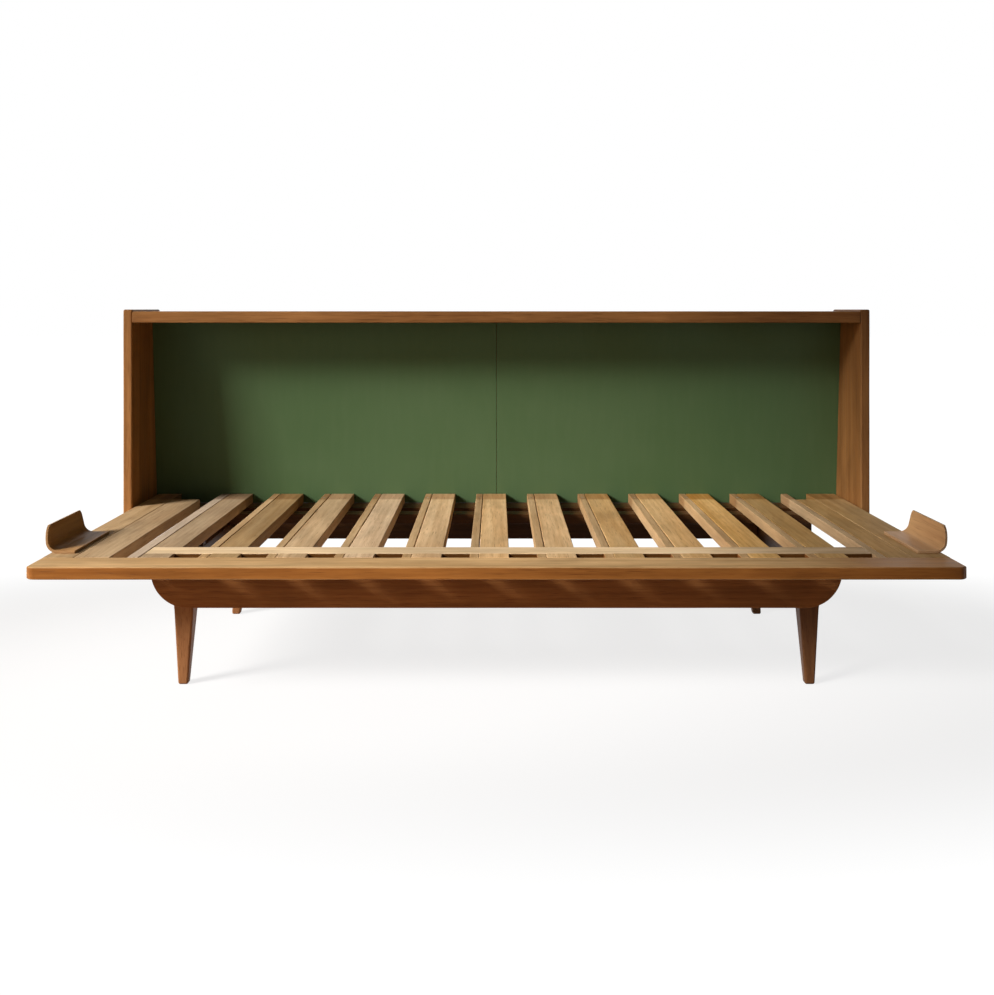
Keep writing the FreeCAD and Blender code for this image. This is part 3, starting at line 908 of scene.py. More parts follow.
class SubAssembly(ABC):
    """Pieces that ride together on one body of the frame."""

    body: str

    @abstractmethod
    def build(self) -> None:
        """Build and dress every piece."""

    def place(self, surface: Surface, name: str, nodes: list[str], dress: Dress, seed: int) -> None:
        """Turn a surface into a piece that stands for frame nodes.

        Args:
            surface: The worked-out surface.
            name: Name of the piece.
            nodes: Frame nodes that it stands for.
            dress: What it wears.
            seed: Choice of where in the log the board was cut.
        """
        mesh = bpy.data.meshes.new(name)
        mesh.from_pydata(surface.points.tolist(), [], surface.faces)
        mesh.polygons.foreach_set("use_smooth", np.ones(len(mesh.polygons), bool))
        mesh.normals_split_custom_set_from_vertices(surface.normals.tolist())
        self.mark(mesh, surface, dress, seed)
        piece = linked(name, mesh)
        mesh.materials.append(dress.finish.material())
        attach(piece, self.body)
        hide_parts(*nodes)
        LOG.info("%s: %d faces on %s for %s", name, len(mesh.polygons), self.body, ", ".join(nodes))

    def mark(self, mesh: bpy.types.Mesh, surface: Surface, dress: Dress, seed: int) -> None:
        """Store what the finishes read from a piece.

        The grain place is counted from a seeded pith beside the board and a seeded start along it.

        Args:
            mesh: The piece's mesh.
            surface: Its surface.
            dress: What it wears.
            seed: Choice of the cut.
        """
        draw = np.random.default_rng(CUT_SEED + seed)
        centre = surface.grain.mean(0)
        pith = [draw.uniform(*bounds) for bounds in PITH_RANGES]
        grain = surface.grain - centre * np.array([0.0, 1.0, 0.0]) + np.array(pith)
        if isinstance(dress.finish, PlyFinish):
            grain[:, 2] = surface.grain[:, 2]
        else:
            grain[:, 2] -= centre[2]
        upward = np.clip((surface.normals[:, 2] - FACE_START) / FACE_FADE, 0.0, 1.0)
        sideways = np.clip((np.abs(surface.normals[:, 0]) - FACE_START) / FACE_FADE, 0.0, 1.0)
        worn = np.maximum(upward, dress.wear.sides * sideways)
        worn = worn * dress.wear.along(surface.grain[:, 0])
        for key, values in {
            "worn": worn,
            "arris": surface.arris,
            "rim": surface.rim,
            "tone": np.full(len(worn), dress.tone),
            "pale": np.full(len(worn), dress.pale),
        }.items():
            layer = mesh.attributes.new(key, "FLOAT", "POINT")
            layer.data.foreach_set("value", values.astype(np.float32))
        layer = mesh.attributes.new("grain", "FLOAT_VECTOR", "POINT")
        layer.data.foreach_set("vector", grain.astype(np.float32).ravel())

    def wood(self, sweep: Sweep, node: str, dress: Dress, seed: int) -> None:
        """Stand a wooden piece in for a frame node."""
        self.place(sweep.surface(), f"{node}_wood", [node], dress, seed)

    def plain_board(self, node: str, axis: Axis, dress: Dress, arris: Arris, seed: int) -> None:
        """Stand a straight board along an axis in for a frame node of the same size."""
        self.wood(straight_board(axis, spans(node, axis), arris, seed), node, dress, seed)


@dataclass
class PulloutDeck(SubAssembly):
    """The deck that slides out: rail, boards, slats, crossbar, tie and bent stops.

    Attributes:
        body: Body that it rides on.
        rail_corner: Plan radius of the rail's front corners.
        rail_rings: Rings of each rail corner and of its straight part.
        rail_arris: Easing of the rail.
        board_arris: Easing of the boards and slats.
        tie_arris: Easing of the hidden tie.
        edge_tones: How light the end boards, outer slats and edge strips are, each left then right.
        edge_pale: How much less colour they have.
        slat_tones: How light each wide slat is, from left to right.
        slat_pale: How much less colour each wide slat has.
        slat_wear: Wear of a slat; it falls off towards the rear end, which stays varnished and
            darker.
        rail_wear_and_painted_shade: Wear of the rail, with painted shade: its right end stays
            varnished and darker in place of the shade that falls on it.
        crossbar_wear: Wear of the crossbar, with the same painted shade at its right end.
        ply: Thickness of a bent stop.
        ply_edge: Easing of its edges.
        stop_bend: Inner radius of its bend.
        stop_sweep: Angle of its bend in degrees.
        stop_flat: Width of its flange.
        stop_front_corner: Radius of the upper front corner of its lip.
        stop_rear_corner: Radius of the upper rear corner of its lip.
        stop_rings: Rings of its flange, bend, lip and upper corner.
        lip_gap: Least distance of the lip's rings from the bend.
        lip_turn: Angle in the upper corner of its topmost ring.
    """

    body: str = "pullout_deck"
    rail_corner: float = 0.018
    rail_rings: tuple[int, int] = (14, 40)
    rail_arris: Arris = Arris(0.003, 0.25)
    board_arris: Arris = Arris(0.0016, 0.4, 0.0003)
    tie_arris: Arris = Arris(0.0012)
    edge_tones: tuple[float, ...] = (-0.06, -0.14, -0.14, -0.12, 0.16, -0.12)
    edge_pale: tuple[float, ...] = (0.0, -0.1, 0.06, -0.12, 0.34, 0.06)
    slat_tones: tuple[float, ...] = (
        -0.11, -0.24, 0.08, 0.28, 0.32, 0.36, 0.36, 0.15, 0.36, 0.36, -0.16
    )
    slat_pale: tuple[float, ...] = (
        0.12, -0.06, 0.06, 0.14, 0.04, -0.03, -0.01, -0.1, -0.08, -0.18, -0.15
    )
    slat_wear: Wear = Wear(1.0, 0.706, 0.012, 0.45, 0.8)
    # Painted shade: the rail and crossbar stop being worn towards their right ends, so those ends
    # are darker in place of the shade that falls there.
    rail_wear_and_painted_shade: Wear = Wear(1.0, 1.60, 0.12, 0.3)
    crossbar_wear: Wear = Wear(1.0, 1.14, 0.28, 0.5)
    ply: float = 0.006
    ply_edge: float = 0.0012
    stop_bend: float = 0.022
    stop_sweep: float = 77.0
    stop_flat: float = 0.036
    stop_front_corner: float = 0.050
    stop_rear_corner: float = 0.016
    stop_rings: tuple[int, ...] = (6, 18, 3, 12)
    lip_gap: float = 0.002
    lip_turn: float = 0.35

    def build(self) -> None:
        """Build and dress the deck."""
        self.build_rail()
        self.build_crossbar()
        self.build_boards()
        # The rear tie is darkened by painted shade.
        self.plain_board("rear_tie", Axis.X, HIDDEN_WOOD_PAINTED_SHADE, self.tie_arris, 61)
        for side in Side:
            self.build_stop(side)

    def build_rail(self) -> None:
        """Build the front rail: its front bound follows a quarter circle towards both ends."""
        arris = self.rail_arris
        sweep, ends = round_ended(
            "front_rail", self.rail_corner, arris.radius, self.rail_rings, arris, 21
        )
        sweep.sides[:, 0] += corner_inset(ends, self.rail_corner)
        # The rail's darker right end is painted shade.
        dress = Dress(DECK_OAK, "deck_wood", tone=0.14, wear=self.rail_wear_and_painted_shade, pale=-0.02)
        self.wood(sweep, "front_rail", dress, 21)

    def build_crossbar(self) -> None:
        """Build the flush crossbar and, in one piece, the teeth between it and the rail."""
        # The crossbar's dark varnish and its darker right end are painted shade.
        dress = Dress(CROSSBAR_OAK_PAINTED_SHADE, "deck_wood", tone=0.28, wear=self.crossbar_wear, pale=-0.1)
        self.plain_board("crossbar", Axis.X, dress, self.board_arris, 33)
        run, heights, _ = spans("rail_teeth", Axis.Y)
        parts = []
        for seed, (fixed, sliding) in enumerate(zip(FIXED_SLATS, DECK_SLATS[1:]), 41):
            across = (span(fixed, Axis.X)[0], span(sliding, Axis.X)[0])
            sweep = straight_board(Axis.Y, [run, heights, across], self.board_arris, seed)
            parts.append(sweep.surface())
        dress = Dress(DECK_OAK, "deck_wood", wear=Wear())
        self.place(joined(parts), "rail_teeth_wood", ["rail_teeth"], dress, 40)

    def build_boards(self) -> None:
        """Build the edge boards, and the wide slats with their notch for the crossbar."""
        start = span("front_rail", Axis.Y)[1]
        _, notch, (notch_low, _) = spans("crossbar")
        names = EDGE_BOARDS + DECK_SLATS
        tones = self.edge_tones + self.slat_tones
        pales = self.edge_pale + self.slat_pale
        for seed, (name, tone, pale) in enumerate(zip(names, tones, pales), 70):
            (_, end), heights, across = spans(name, Axis.Y)
            bounds = [(start, end), heights, across]
            stations = worn_stations(bounds[0], self.board_arris.radius, self.slat_wear)
            if name in DECK_SLATS:
                stations = np.sort(np.concatenate((stations, notch, notch)))
            sweep = straight_board(Axis.Y, bounds, self.board_arris, seed, stations)
            if name in DECK_SLATS:
                sweep.sides = stepped(heights, notch, notch_low, stations)
            self.wood(sweep, name, Dress(SLAT_OAK, "deck_wood", tone, self.slat_wear, pale), seed)

    def build_stop(self, side: Side) -> None:
        """Build a bent stop: its profile is carried along flange, bend and leaning lip.

        The path is the outer face: straight, then an arc of the bend radius plus the ply, then
        straight up to the top. The front and rear bound draw in by a quarter circle near the top.

        Args:
            side: End of the deck.
        """
        node = f"mattress_stop_{side.word}"
        low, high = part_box(node)
        flat_rings, bend_rings, lip_rings, corner_rings = self.stop_rings
        inner = low.x if side is Side.RIGHT else -high.x
        bend_x = inner + self.stop_flat
        flat = np.linspace(inner + self.ply_edge, bend_x, flat_rings)[:-1]
        radius = self.stop_bend + self.ply
        turn = np.radians(np.linspace(0.0, self.stop_sweep, bend_rings))
        cos, sin = math.cos(turn[-1]), math.sin(turn[-1])
        bend_z = low.z + radius
        reach = (high.z - bend_z + radius * cos) / sin - self.ply_edge
        corner = np.linspace(self.lip_turn, QUARTER, corner_rings)
        top = self.stop_front_corner * (1.0 - np.cos(corner))[::-1]
        lip_end = max(reach - top[0] - self.lip_gap, 3.0 * self.lip_gap)
        lip = np.linspace(2.0 * self.lip_gap, lip_end, lip_rings)
        rise = np.unique(np.clip(np.concatenate((lip, reach - top)), self.lip_gap, reach))
        x = np.concatenate((
            flat, bend_x + radius * np.sin(turn), bend_x + radius * sin + rise * cos
        ))
        z = np.concatenate((
            np.full(len(flat), low.z),
            bend_z - radius * np.cos(turn),
            bend_z - radius * cos + rise * sin,
        ))
        lean = np.concatenate((np.zeros(len(flat)), turn, np.full(len(rise), turn[-1])))
        sign = float(side.value)
        zero = np.zeros(len(x))
        below = np.clip(high.z - z, 0.0, None)
        front = low.y + corner_inset(below, self.stop_front_corner)
        rear = high.y - corner_inset(below, self.stop_rear_corner)
        surface = Sweep(
            np.stack((sign * x, zero, z), -1),
            np.stack((zero, zero + sign, zero), -1),
            np.stack((-sign * np.sin(lean), zero, np.cos(lean)), -1),
            np.stack((front, rear) if side is Side.RIGHT else (-rear, -front), -1),
            np.repeat([[0.0, self.ply]], len(x), axis=0),
            np.full((len(x), 4), self.ply_edge),
        ).surface()
        surface.grain = surface.grain[:, [1, 0, 2]]
        # Painted light and shade: the stops' tone and paleness are set by side for how light falls,
        # the right stop lighter and paler than the left.
        tone, pale = 0.27 + 0.13 * side.value, 0.05 + 0.05 * side.value
        dress = Dress(STOP_PLY, "bent_ply", tone, pale=pale)
        self.place(surface, f"{node}_ply", [node], dress, 90 + side.value)


@dataclass
class FixedBase(SubAssembly):
    """The frame that stands on the floor: aprons, runners, pull stops, legs and narrow slats.

    Attributes:
        body: Body that it rides on.
        apron_corner: Radius of the front apron's lower corners.
        apron_rings: Rings of each apron corner and of its straight part.
        apron_tip: Arris at the front apron's two ends.
        apron_growth: How fast the arris grows from there.
        arris: Easing of its boards.
        leg_edge: Edge radius of a tapered leg.
        leg_foot: Width of a leg at the floor.
        leg_inset: How far a front foot stands back from its block's outer side.
        leg_rake: How far a foot stands back from its block along Y.
        leg_square: Start below the block, and length, of the change to a sharp edge.
        leg_step: Distance of the block's first ring from the taper's last.
        leg_rings: Rings of a leg's taper and of its block.
        strip_arris: Easing of the narrow slats.
        strip_wear: Wear of the narrow slats.
        strip_tone: How far the narrow slats differ in lightness.
        strip_turn: Turn of the sine wave by which they do, from one to the next.
        left_leg_tone: How light the left legs are.
        right_leg_painted_shade_tone: How light the right legs are; their darkness is painted shade,
            in place of the light that misses them.
    """

    body: str = "base"
    apron_corner: float = 0.080
    apron_rings: tuple[int, int] = (28, 30)
    apron_tip: float = 0.0008
    apron_growth: float = 0.06
    arris: Arris = Arris(0.002, 0.3)
    leg_edge: float = 0.005
    leg_foot: float = 0.022
    leg_inset: float = 0.005
    leg_rake: float = 0.016
    leg_square: Span = (0.01, 0.016)
    leg_step: float = 0.006
    leg_rings: tuple[int, int] = (16, 6)
    strip_arris: Arris = Arris(0.0015, 0.4, 0.0004)
    strip_wear: Wear = Wear(1.0, 0.704, 0.012, 0.45, 0.8)
    strip_tone: float = 0.05
    strip_turn: float = 2.3
    left_leg_tone: float = 0.04
    # Painted shade: the right legs are darkened to stand in for the light that misses them.
    right_leg_painted_shade_tone: float = -0.36

    def build(self) -> None:
        """Build and dress the base."""
        self.build_front_apron()
        # The rear apron, runners and pull stops are darkened by painted shade.
        self.plain_board("rear_apron", Axis.X, HIDDEN_WOOD_PAINTED_SHADE, self.arris, 112)
        runners = ("side_runner_left", "side_runner_right", "centre_runner")
        for seed, node in enumerate(runners, 113):
            self.plain_board(node, Axis.Y, HIDDEN_WOOD_PAINTED_SHADE, self.arris, seed)
        for seed, side in enumerate(Side, 120):
            self.plain_board(f"pull_stop_{side.word}", Axis.Y, HIDDEN_WOOD_PAINTED_SHADE, self.arris, seed)
        legs = [f"{end}_leg_{side.word}" for end in ("front", "rear") for side in Side]
        for seed, node in enumerate(legs, 130):
            self.build_leg(node, seed)
        self.build_strips()

    def build_front_apron(self) -> None:
        """Build the front apron: its lower bound follows a quarter circle towards both ends."""
        sweep, ends = round_ended(
            "front_apron", self.apron_corner, self.apron_tip, self.apron_rings, self.arris, 111
        )
        sweep.heights[:, 0] += corner_inset(ends, self.apron_corner)
        sweep.edge = np.minimum(sweep.edge, (self.apron_tip + self.apron_growth * ends)[:, None])
        sweep.edge[[0, -1]] = self.apron_tip
        self.wood(sweep, "front_apron", Dress(BASE_OAK, "base_wood", tone=0.34), 111)

    def build_leg(self, node: str, seed: int) -> None:
        """Build a leg: a square carried upwards, widening evenly from the foot to its block.

        Args:
            node: The frame node.
            seed: Choice of the cut.
        """
        low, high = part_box(node)
        block_low = span("front_apron", Axis.Z)[0]
        rear = node.startswith("rear")
        side = 1.0 if low.x > 0 else -1.0
        reach = span("side_runner_right", Axis.X)[0]
        block = sorted((side * reach, side * (reach - (high.y - low.y))))
        outer = max(abs(low.x), abs(high.x)) if rear else reach - self.leg_inset
        foot = sorted((side * outer, side * (outer - self.leg_foot)))
        near, far = low.y + self.leg_rake, high.y - self.leg_rake
        foot_y = (far - self.leg_foot, far) if rear else (near, near + self.leg_foot)
        stations = np.concatenate((
            np.linspace(self.leg_edge, block_low, self.leg_rings[0]),
            np.linspace(block_low + self.leg_step, high.z - self.arris.radius, self.leg_rings[1]),
        ))
        share = np.clip(stations / block_low, 0.0, 1.0)[:, None]
        no_width = (0.0, 0.0)
        sweep = straight_board(
            Axis.Z, [(0.0, high.z), no_width, no_width], self.arris, seed, stations
        )
        sweep.sides = (1.0 - share) * np.array(foot) + share * np.array(block)
        sweep.heights = (1.0 - share) * np.array(foot_y) + share * np.array((low.y, high.y))
        start, length = self.leg_square
        square = np.clip((stations - block_low + start) / length, 0.0, 1.0)[:, None]
        edge = self.leg_edge * (1.0 - square) + self.arris.radius * square
        sweep.edge = np.repeat(edge, 4, axis=1)
        sweep.sloped = True
        # The right legs' low tone is painted shade.
        tone = self.left_leg_tone if side < 0 else self.right_leg_painted_shade_tone
        self.wood(sweep, node, Dress(BASE_OAK, "base_wood", tone, pale=0.06), seed)

    def build_strips(self) -> None:
        """Build the narrow slats, lowered at the front where the crossbar passes over them."""
        low_top = span("crossbar", Axis.Z)[0] - CROSSBAR_PLAY
        step = span("crossbar", Axis.Y)[1] + CROSSBAR_PLAY
        for number, node in enumerate(FIXED_SLATS, 1):
            bounds = spans(node, Axis.Y)
            stations = worn_stations(bounds[0], self.strip_arris.radius, self.strip_wear)
            stations = np.sort(np.concatenate((stations, (step, step))))
            sweep = straight_board(Axis.Y, bounds, self.strip_arris, 150 + number, stations)
            sweep.sides[:np.searchsorted(stations, step) + 1, 1] = low_top
            tone = self.strip_tone * math.sin(self.strip_turn * number)
            dress = Dress(SLAT_OAK, "deck_wood", tone, self.strip_wear)
            self.wood(sweep, node, dress, 150 + number)


@dataclass
class BeddingBox(SubAssembly):
    """The open box behind the deck: sides, top, lipping, floor and the leaning green back.

    Attributes:
        body: Body that it rides on.
        side_arris: Easing of the two sides.
        lip_arris: Easing of the lipping.
        board_arris: Easing of the other boards.
        panel_arris: Easing of the painted panels.
        panel: Thickness of the painted panels.
        batten: Thickness of the battens behind them.
        bulge: How far a panel bows between its fixings.
        foot_play: Play under a leaning board.
        head_play: Play above it.
    """

    body: str = "base"
    side_arris: Arris = Arris(0.004, 0.2)
    lip_arris: Arris = Arris(0.002, 0.3)
    board_arris: Arris = Arris(0.0015)
    panel_arris: Arris = Arris(0.0004, 0.2, 0.0)
    panel: float = 0.008
    batten: float = 0.018
    bulge: float = 0.0008
    foot_play: float = 0.0003
    head_play: float = 0.003

    def build(self) -> None:
        """Build and dress the box."""
        for seed, side in enumerate(Side, 200):
            dress = Dress(BOX_OAK, "box_wood", tone=-0.1 * side.value + 0.02)
            self.plain_board(f"box_side_{side.word}", Axis.Z, dress, self.side_arris, seed)
        wood = Dress(BOX_OAK, "box_wood")
        shaded = Dress(BOX_OAK, "box_wood", tone=-0.66)
        self.plain_board("box_top", Axis.X, wood, self.board_arris, 205)
        self.plain_board("box_top_lipping", Axis.X, wood, self.lip_arris, 206)
        self.plain_board("box_floor", Axis.X, shaded, self.board_arris, 207)
        for seed, side in enumerate(Side, 210):
            self.build_panel(f"back_panel_{side.word}", seed)
            self.build_batten(f"panel_cleat_{side.word}", wood, seed + 4)
        self.build_batten("panel_batten", wood, 220)

    def build_panel(self, node: str, seed: int) -> None:
        """Build a painted panel, which bows forwards between its fixings."""
        sweep = self.leaning_board(node, (0.0, self.panel), self.panel_arris)
        low, high = span(node, Axis.X)
        share = (sweep.path[:, 0] - low) / (high - low)
        sweep.sides[:, 0] -= self.bulge * np.sin(math.pi * share)
        dress = Dress(GREEN_PAINT, "green_panel")
        self.place(sweep.surface(), f"{node}_paint", [node], dress, seed)

    def build_batten(self, node: str, dress: Dress, seed: int) -> None:
        """Build a batten behind the panels."""
        depth = (self.panel, self.panel + self.batten)
        self.wood(self.leaning_board(node, depth, self.board_arris), node, dress, seed)

    def leaning_board(self, node: str, depth: Span, arris: Arris) -> Sweep:
        """Lay out a board along X whose rectangle stands on the slope of the back.

        Args:
            node: The frame node.
            depth: Distances of its two faces behind the front of the back.
            arris: How its edges are eased.

        Returns:
            The sweep of the board.
        """
        head_y, foot_y = span("back_panel_left", Axis.Y)
        low, high = span(node, Axis.Z)
        foot = np.array((foot_y - self.panel, low))
        slope = np.array((head_y, high)) - foot
        length = np.linalg.norm(slope)
        rise = slope / length
        stations = board_stations(span(node, Axis.X), arris.radius)
        count = len(stations)
        return Sweep(
            np.stack((stations, np.full(count, foot[0]), np.full(count, foot[1])), -1),
            np.repeat([[0.0, rise[1], -rise[0]]], count, axis=0),
            np.repeat([[0.0, *rise]], count, axis=0),
            np.repeat([depth], count, axis=0),
            np.repeat([[self.foot_play, length - self.head_play]], count, axis=0),
            np.full((count, 4), arris.radius),
        )


@dataclass
class Fasteners(SubAssembly):
    """Slotted screw heads on one body, and the bolts that the frame already has.

    Attributes:
        body: Body that they ride on.
        radius: Radius of a head.
        proud: Height of its crown over the wood.
        sink: Depth of its seat.
        slot_width: Width of the slot.
        slot_depth: Depth of the slot.
        slot_wall: Width of each sloping wall of the slot, as a share of half its width.
        recess: How far the heads that pass over a runner are let in.
        rings: Radii of a head's rings and of its cone's, as shares.
        turns: Points of each ring.
    """

    body: str
    radius: float = 0.004
    proud: float = 0.0004
    sink: float = 0.003
    slot_width: float = 0.001
    slot_depth: float = 0.0009
    slot_wall: float = 0.6
    recess: float = 0.0008
    rings: tuple[float, ...] = (0.0, 0.25, 0.5, 0.75, 0.95, 1.0, 0.5, 0.0)
    turns: int = 24

    def build(self) -> None:
        """Build and dress the screws of this body."""
        if self.body == "base":
            self.build_strip_screws()
            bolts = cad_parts["leg_bolts"]
            bolts.data.materials.clear()
            bolts.data.materials.append(SCREW_STEEL.material())
            LOG.info("leg_bolts: frame node, dressed")
        else:
            self.build_deck_screws()

    def build_strip_screws(self) -> None:
        """Build the screws that hold the narrow slats down on both aprons."""
        low_top = span("crossbar", Axis.Z)[0] - CROSSBAR_PLAY
        top = span(FIXED_SLATS[0], Axis.Z)[1]
        places = np.array([
            (middle(name, Axis.X), middle(apron, Axis.Y), height)
            for apron, height in (("front_apron", low_top), ("rear_apron", top))
            for name in FIXED_SLATS
        ])
        self.heads("fixed_slat_screw_heads", "fixed_slat_screws", places, 1.0)

    def build_deck_screws(self) -> None:
        """Build the screws under the rear tie and under the bent stops."""
        middles = np.array([middle(name, Axis.X) for name in DECK_SLATS + EDGE_BOARDS])
        near, far = span("side_runner_right", Axis.X)
        away = np.abs(middles)
        crosses = (away > near - self.radius) & (away < far + self.radius)
        bottom = span("rear_tie", Axis.Z)[0]
        depth = np.where(crosses, bottom + self.recess, bottom)
        places = np.stack((middles, np.full(len(middles), middle("rear_tie", Axis.Y)), depth), -1)
        self.heads("tie_screw_heads", "tie_screws", places, -1.0)
        low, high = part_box("stop_screws")
        y = np.linspace(low.y + self.radius, high.y - self.radius, 3)
        x = high.x - self.radius
        places = np.array([(side.value * x, place, low.z) for side in Side for place in y])
        self.heads("stop_screw_heads", "stop_screws", places, -1.0)

    def heads(self, name: str, node: str, places: Array, way: float) -> None:
        """Build slotted heads: a crowned disc, lowered where a slot crosses it, on a cone.

        The crown's height falls with the square of the distance from the middle, and the slot takes
        its depth off wherever the distance from the slot's line is under half its width.

        Args:
            name: Name of the piece.
            node: Frame node that it stands for.
            places: Middle of each head on the wood's face.
            way: 1 where the heads look up, -1 where they look down.
        """
        turns = np.linspace(0.0, 2.0 * math.pi, self.turns, endpoint=False)
        spread = np.array(self.rings)[:, None] * np.ones_like(turns)
        height = self.proud * (1.0 - spread**2)
        height[-2:] = -self.sink
        flat_x = self.radius * spread * np.cos(turns)
        flat_y = self.radius * spread * np.sin(turns)
        wall = 1.0 + self.slot_wall - np.abs(flat_y) / (self.slot_width / 2.0)
        slot = np.clip(wall, 0.0, self.slot_wall) / self.slot_wall
        height[:-2] -= self.slot_depth * slot[:-2]
        head = np.stack((flat_x, way * flat_y, way * height), -1).reshape(-1, 3)
        here = np.arange(self.turns)
        after = (here + 1) % self.turns
        starts = self.turns * np.arange(len(spread) - 1)[:, None]
        ahead = starts + self.turns
        quads = np.stack((starts + here, ahead + here, ahead + after, starts + after), -1)
        points = (places[:, None, :] + head[None]).reshape(-1, 3)
        shifts = len(head) * np.arange(len(places))[:, None, None]
        faces = (quads.reshape(-1, 4)[None] + shifts).reshape(-1, 4)
        mesh = bpy.data.meshes.new(name)
        mesh.from_pydata(points.tolist(), [], faces.tolist())
        mesh.validate()
        piece = linked(name, mesh)
        mesh.materials.append(SCREW_STEEL.material())
        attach(piece, self.body)
        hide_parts(node)
        LOG.info("%s: %d heads on %s", name, len(places), self.body)


@dataclass(frozen=True)
class Lamp:
    """A soft area lamp.

    Attributes:
        name: Name of the lamp.
        place: Its middle.
        target: What it points at.
        size: Width and height.
        power: Watts.
        colour: Tint of the light.
    """

    name: str
    place: Colour
    target: Colour
    size: Span
    power: float
    colour: Colour

    def build(self) -> None:
        """Hang the lamp."""
        data = bpy.data.lights.new(self.name, "AREA")
        data.shape = "RECTANGLE"
        data.size, data.size_y = self.size
        data.energy = self.power
        data.color = self.colour
        aim(linked(self.name, data), np.array(self.place), self.target)


@dataclass(frozen=True)
class LampBank:
    """Rows of soft spots that all point at one place, like a tall window beside the object.

    Attributes:
        name: Name of the bank.
        target: What every spot points at.
        azimuth: Degrees to the left of the way from the camera to the object.
        elevation: Degrees above the floor.
        distance: Distance of the bank from the target.
        columns: Spots in a row.
        rows: Rows of spots.
        pitch: Distance between neighbours.
        power: Watts of all spots together.
        colour: Tint of the light.
        cone: Full opening of each beam in degrees.
        blend: Share of the beam that fades out.
        radius: Radius of each spot.
    """

    name: str
    target: Colour
    azimuth: float
    elevation: float
    distance: float
    columns: int
    rows: int
    pitch: float
    power: float
    colour: Colour
    cone: float
    blend: float
    radius: float

    def build(self) -> None:
        """Hang the spots on a plane square to the way to the target."""
        turn, rise = math.radians(self.azimuth), math.radians(self.elevation)
        level = math.cos(rise)
        back = np.array([-math.sin(turn) * level, -math.cos(turn) * level, math.sin(rise)])
        right = np.array([math.cos(turn), -math.sin(turn), 0.0])
        above = np.cross(right, -back)
        centre = np.array(self.target) + self.distance * back
        for column in range(self.columns):
            for row in range(self.rows):
                beside = (column - (self.columns - 1) / 2.0) * right
                shift = beside + (row - (self.rows - 1) / 2.0) * above
                self.hang(centre + self.pitch * shift, f"{self.name}_{column}_{row}")

    def hang(self, place: Array, name: str) -> None:
        """Hang one spot of a name in its place."""
        data = bpy.data.lights.new(name, "SPOT")
        data.energy = self.power / (self.columns * self.rows)
        data.color = self.colour
        data.spot_size = math.radians(self.cone)
        data.spot_blend = self.blend
        data.shadow_soft_size = self.radius
        aim(linked(name, data), place, self.target)


def aim(lamp: bpy.types.Object, place: Array, target: Colour) -> None:
    """Put a lamp in its place and turn it to its target."""
    way = np.array(target) - place
    tilt = math.acos(-way[2] / np.linalg.norm(way))
    lamp.location = place
    lamp.rotation_euler = (tilt, 0.0, math.atan2(-way[0], way[1]))


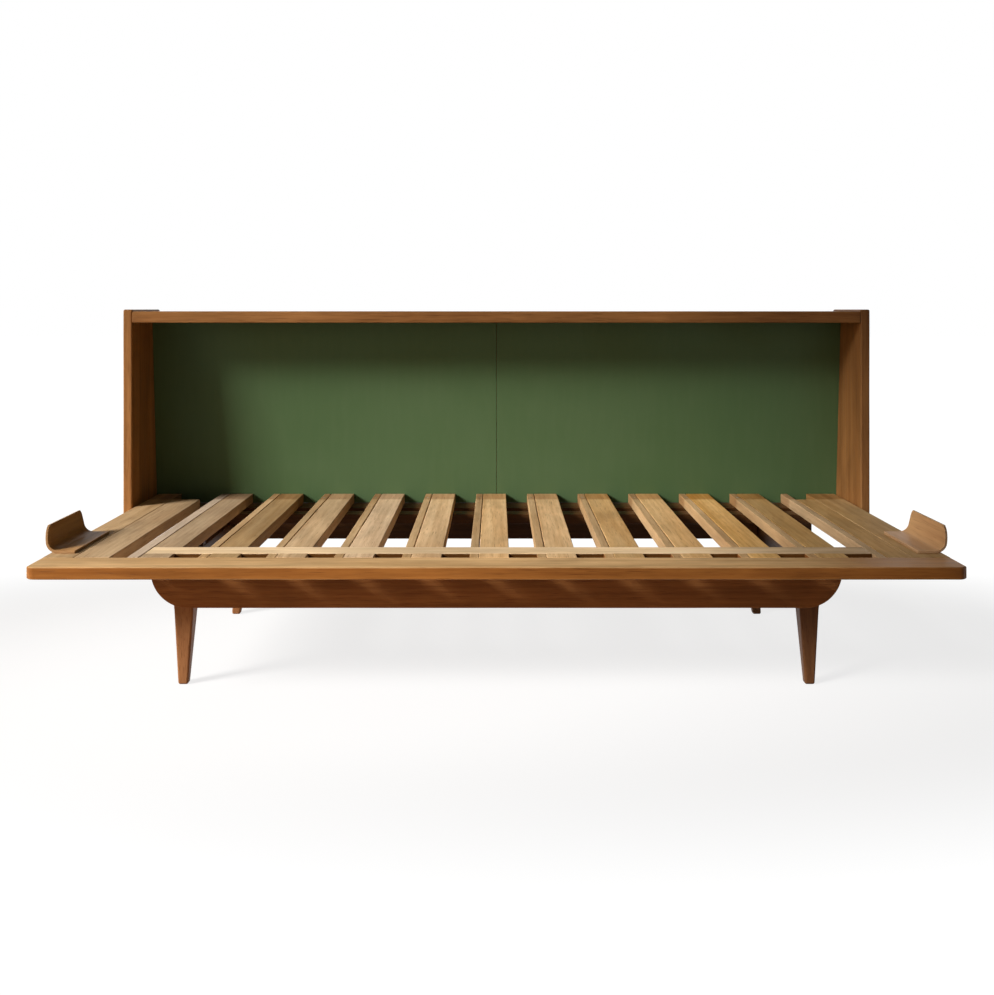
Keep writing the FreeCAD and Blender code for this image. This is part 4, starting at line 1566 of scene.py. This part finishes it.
@dataclass
class Studio:
    """Floor, surroundings, lamps and camera.

    Attributes:
        camera_place: Where the camera stands; it looks level along Y.
        focal_pixels: Distance of the picture plane in picture pixels.
        horizon: Picture row of the horizon.
        centre: Picture column straight ahead.
        ambient: Light from all round.
        floor: Colour of the floor in the light that it throws back.
        floor_seen: Colour of the floor as the camera sees it.
        floor_reach: Half of the floor's width.
        near_white: Share of plain white in what the camera sees of the floor at the object.
        white: Strength of that white.
        oval: Stretch of the distances by which the floor turns white.
        fade: Distances from the object's middle between which it does.
        window: The light that draws the shadows.
        low_window: Soft light from the same side that reaches under the top of the box.
    """

    camera_place: Colour = (0.0, -2.714, 0.8323)
    focal_pixels: float = 1112.6
    horizon: float = 309.0
    centre: float = 496.5
    ambient: Colour = (0.030, 0.018, 0.011)
    floor: Colour = (0.52, 0.36, 0.24)
    floor_seen: Colour = (0.95, 0.95, 0.95)
    floor_reach: float = 30.0
    near_white: float = 0.76
    white: float = 1.05
    oval: Colour = (0.55, 1.0, 1.0)
    fade: Span = (0.7, 1.3)
    window: LampBank = LampBank(
        "window", target=(-0.11, 0.065, -0.002), azimuth=55.0, elevation=28.0, distance=16.0,
        columns=5, rows=4, pitch=0.85, power=15800.0, colour=(1.0, 0.985, 0.96),
        cone=7.72, blend=0.34, radius=0.5,
    )
    low_window: Lamp = Lamp(
        "low_window", (-4.2, -2.7, 1.2), (0.0, 0.0, 0.4), (2.6, 1.2), 40.0, (1.0, 0.72, 0.5)
    )

    def build(self) -> None:
        """Set up the whole studio."""
        bpy.context.scene.view_settings.view_transform = "Standard"
        self.build_surroundings()
        self.build_floor()
        self.window.build()
        self.low_window.build()
        self.build_camera()

    def build_surroundings(self) -> None:
        """Light all round, and plain white where the camera or a reflection looks."""
        world = bpy.data.worlds.new("surroundings")
        bpy.context.scene.world = world
        made = Nodes(world)
        around, seen = (
            made.node("ShaderNodeBackground", {"Color": colour})
            for colour in (self.ambient, PLAIN_WHITE)
        )
        made.close_mixed("ShaderNodeOutputWorld", made.direct_rays(), around, seen)

    def build_floor(self) -> None:
        """Lay a wide floor that keeps the shadow and looks nearly white."""
        reach = self.floor_reach
        mesh = bpy.data.meshes.new("floor")
        signs = ((-1, -1), (1, -1), (1, 1), (-1, 1))
        mesh.from_pydata([(x * reach, y * reach, 0.0) for x, y in signs], [], [(0, 1, 2, 3)])
        floor = linked("floor", mesh)
        material = bpy.data.materials.new("floor")
        made = Nodes(material)
        direct = made.direct_rays()
        tint = made.mix(direct, self.floor, self.floor_seen)
        matt = made.node("ShaderNodeBsdfDiffuse", {"Color": tint})
        white = made.node("ShaderNodeEmission", {"Strength": self.white})
        place = made.stretched(made.place(), self.oval)
        distance = made.node("ShaderNodeVectorMath", {0: place}, operation="LENGTH")
        far = made.spread(distance.outputs["Value"], self.fade, (self.near_white, 1.0))
        share = made.math("MULTIPLY", direct, far)
        made.close_mixed("ShaderNodeOutputMaterial", share, matt, white)
        mesh.materials.append(material)

    def build_camera(self) -> None:
        """Place the camera; its shift puts horizon and centre where the picture has them."""
        data = bpy.data.cameras.new("camera")
        data.sensor_fit = "HORIZONTAL"
        data.sensor_width = SENSOR_WIDTH
        data.lens = self.focal_pixels * SENSOR_WIDTH / IMAGE_WIDTH
        data.shift_x = (IMAGE_WIDTH / 2.0 - self.centre) / IMAGE_WIDTH
        data.shift_y = -(IMAGE_HEIGHT / 2.0 - self.horizon) / IMAGE_WIDTH
        camera = linked("camera", data)
        camera.location = self.camera_place
        camera.rotation_euler = (QUARTER, 0.0, 0.0)
        bpy.context.scene.camera = camera


def main() -> None:
    """Build the sub-assemblies and the studio."""
    logging.basicConfig(level=logging.INFO, format="%(name)s: %(message)s")
    for part in (
        PulloutDeck(), FixedBase(), BeddingBox(), Fasteners("base"), Fasteners("pullout_deck")
    ):
        part.build()
    Studio().build()


if __name__ == "__main__":
    main()
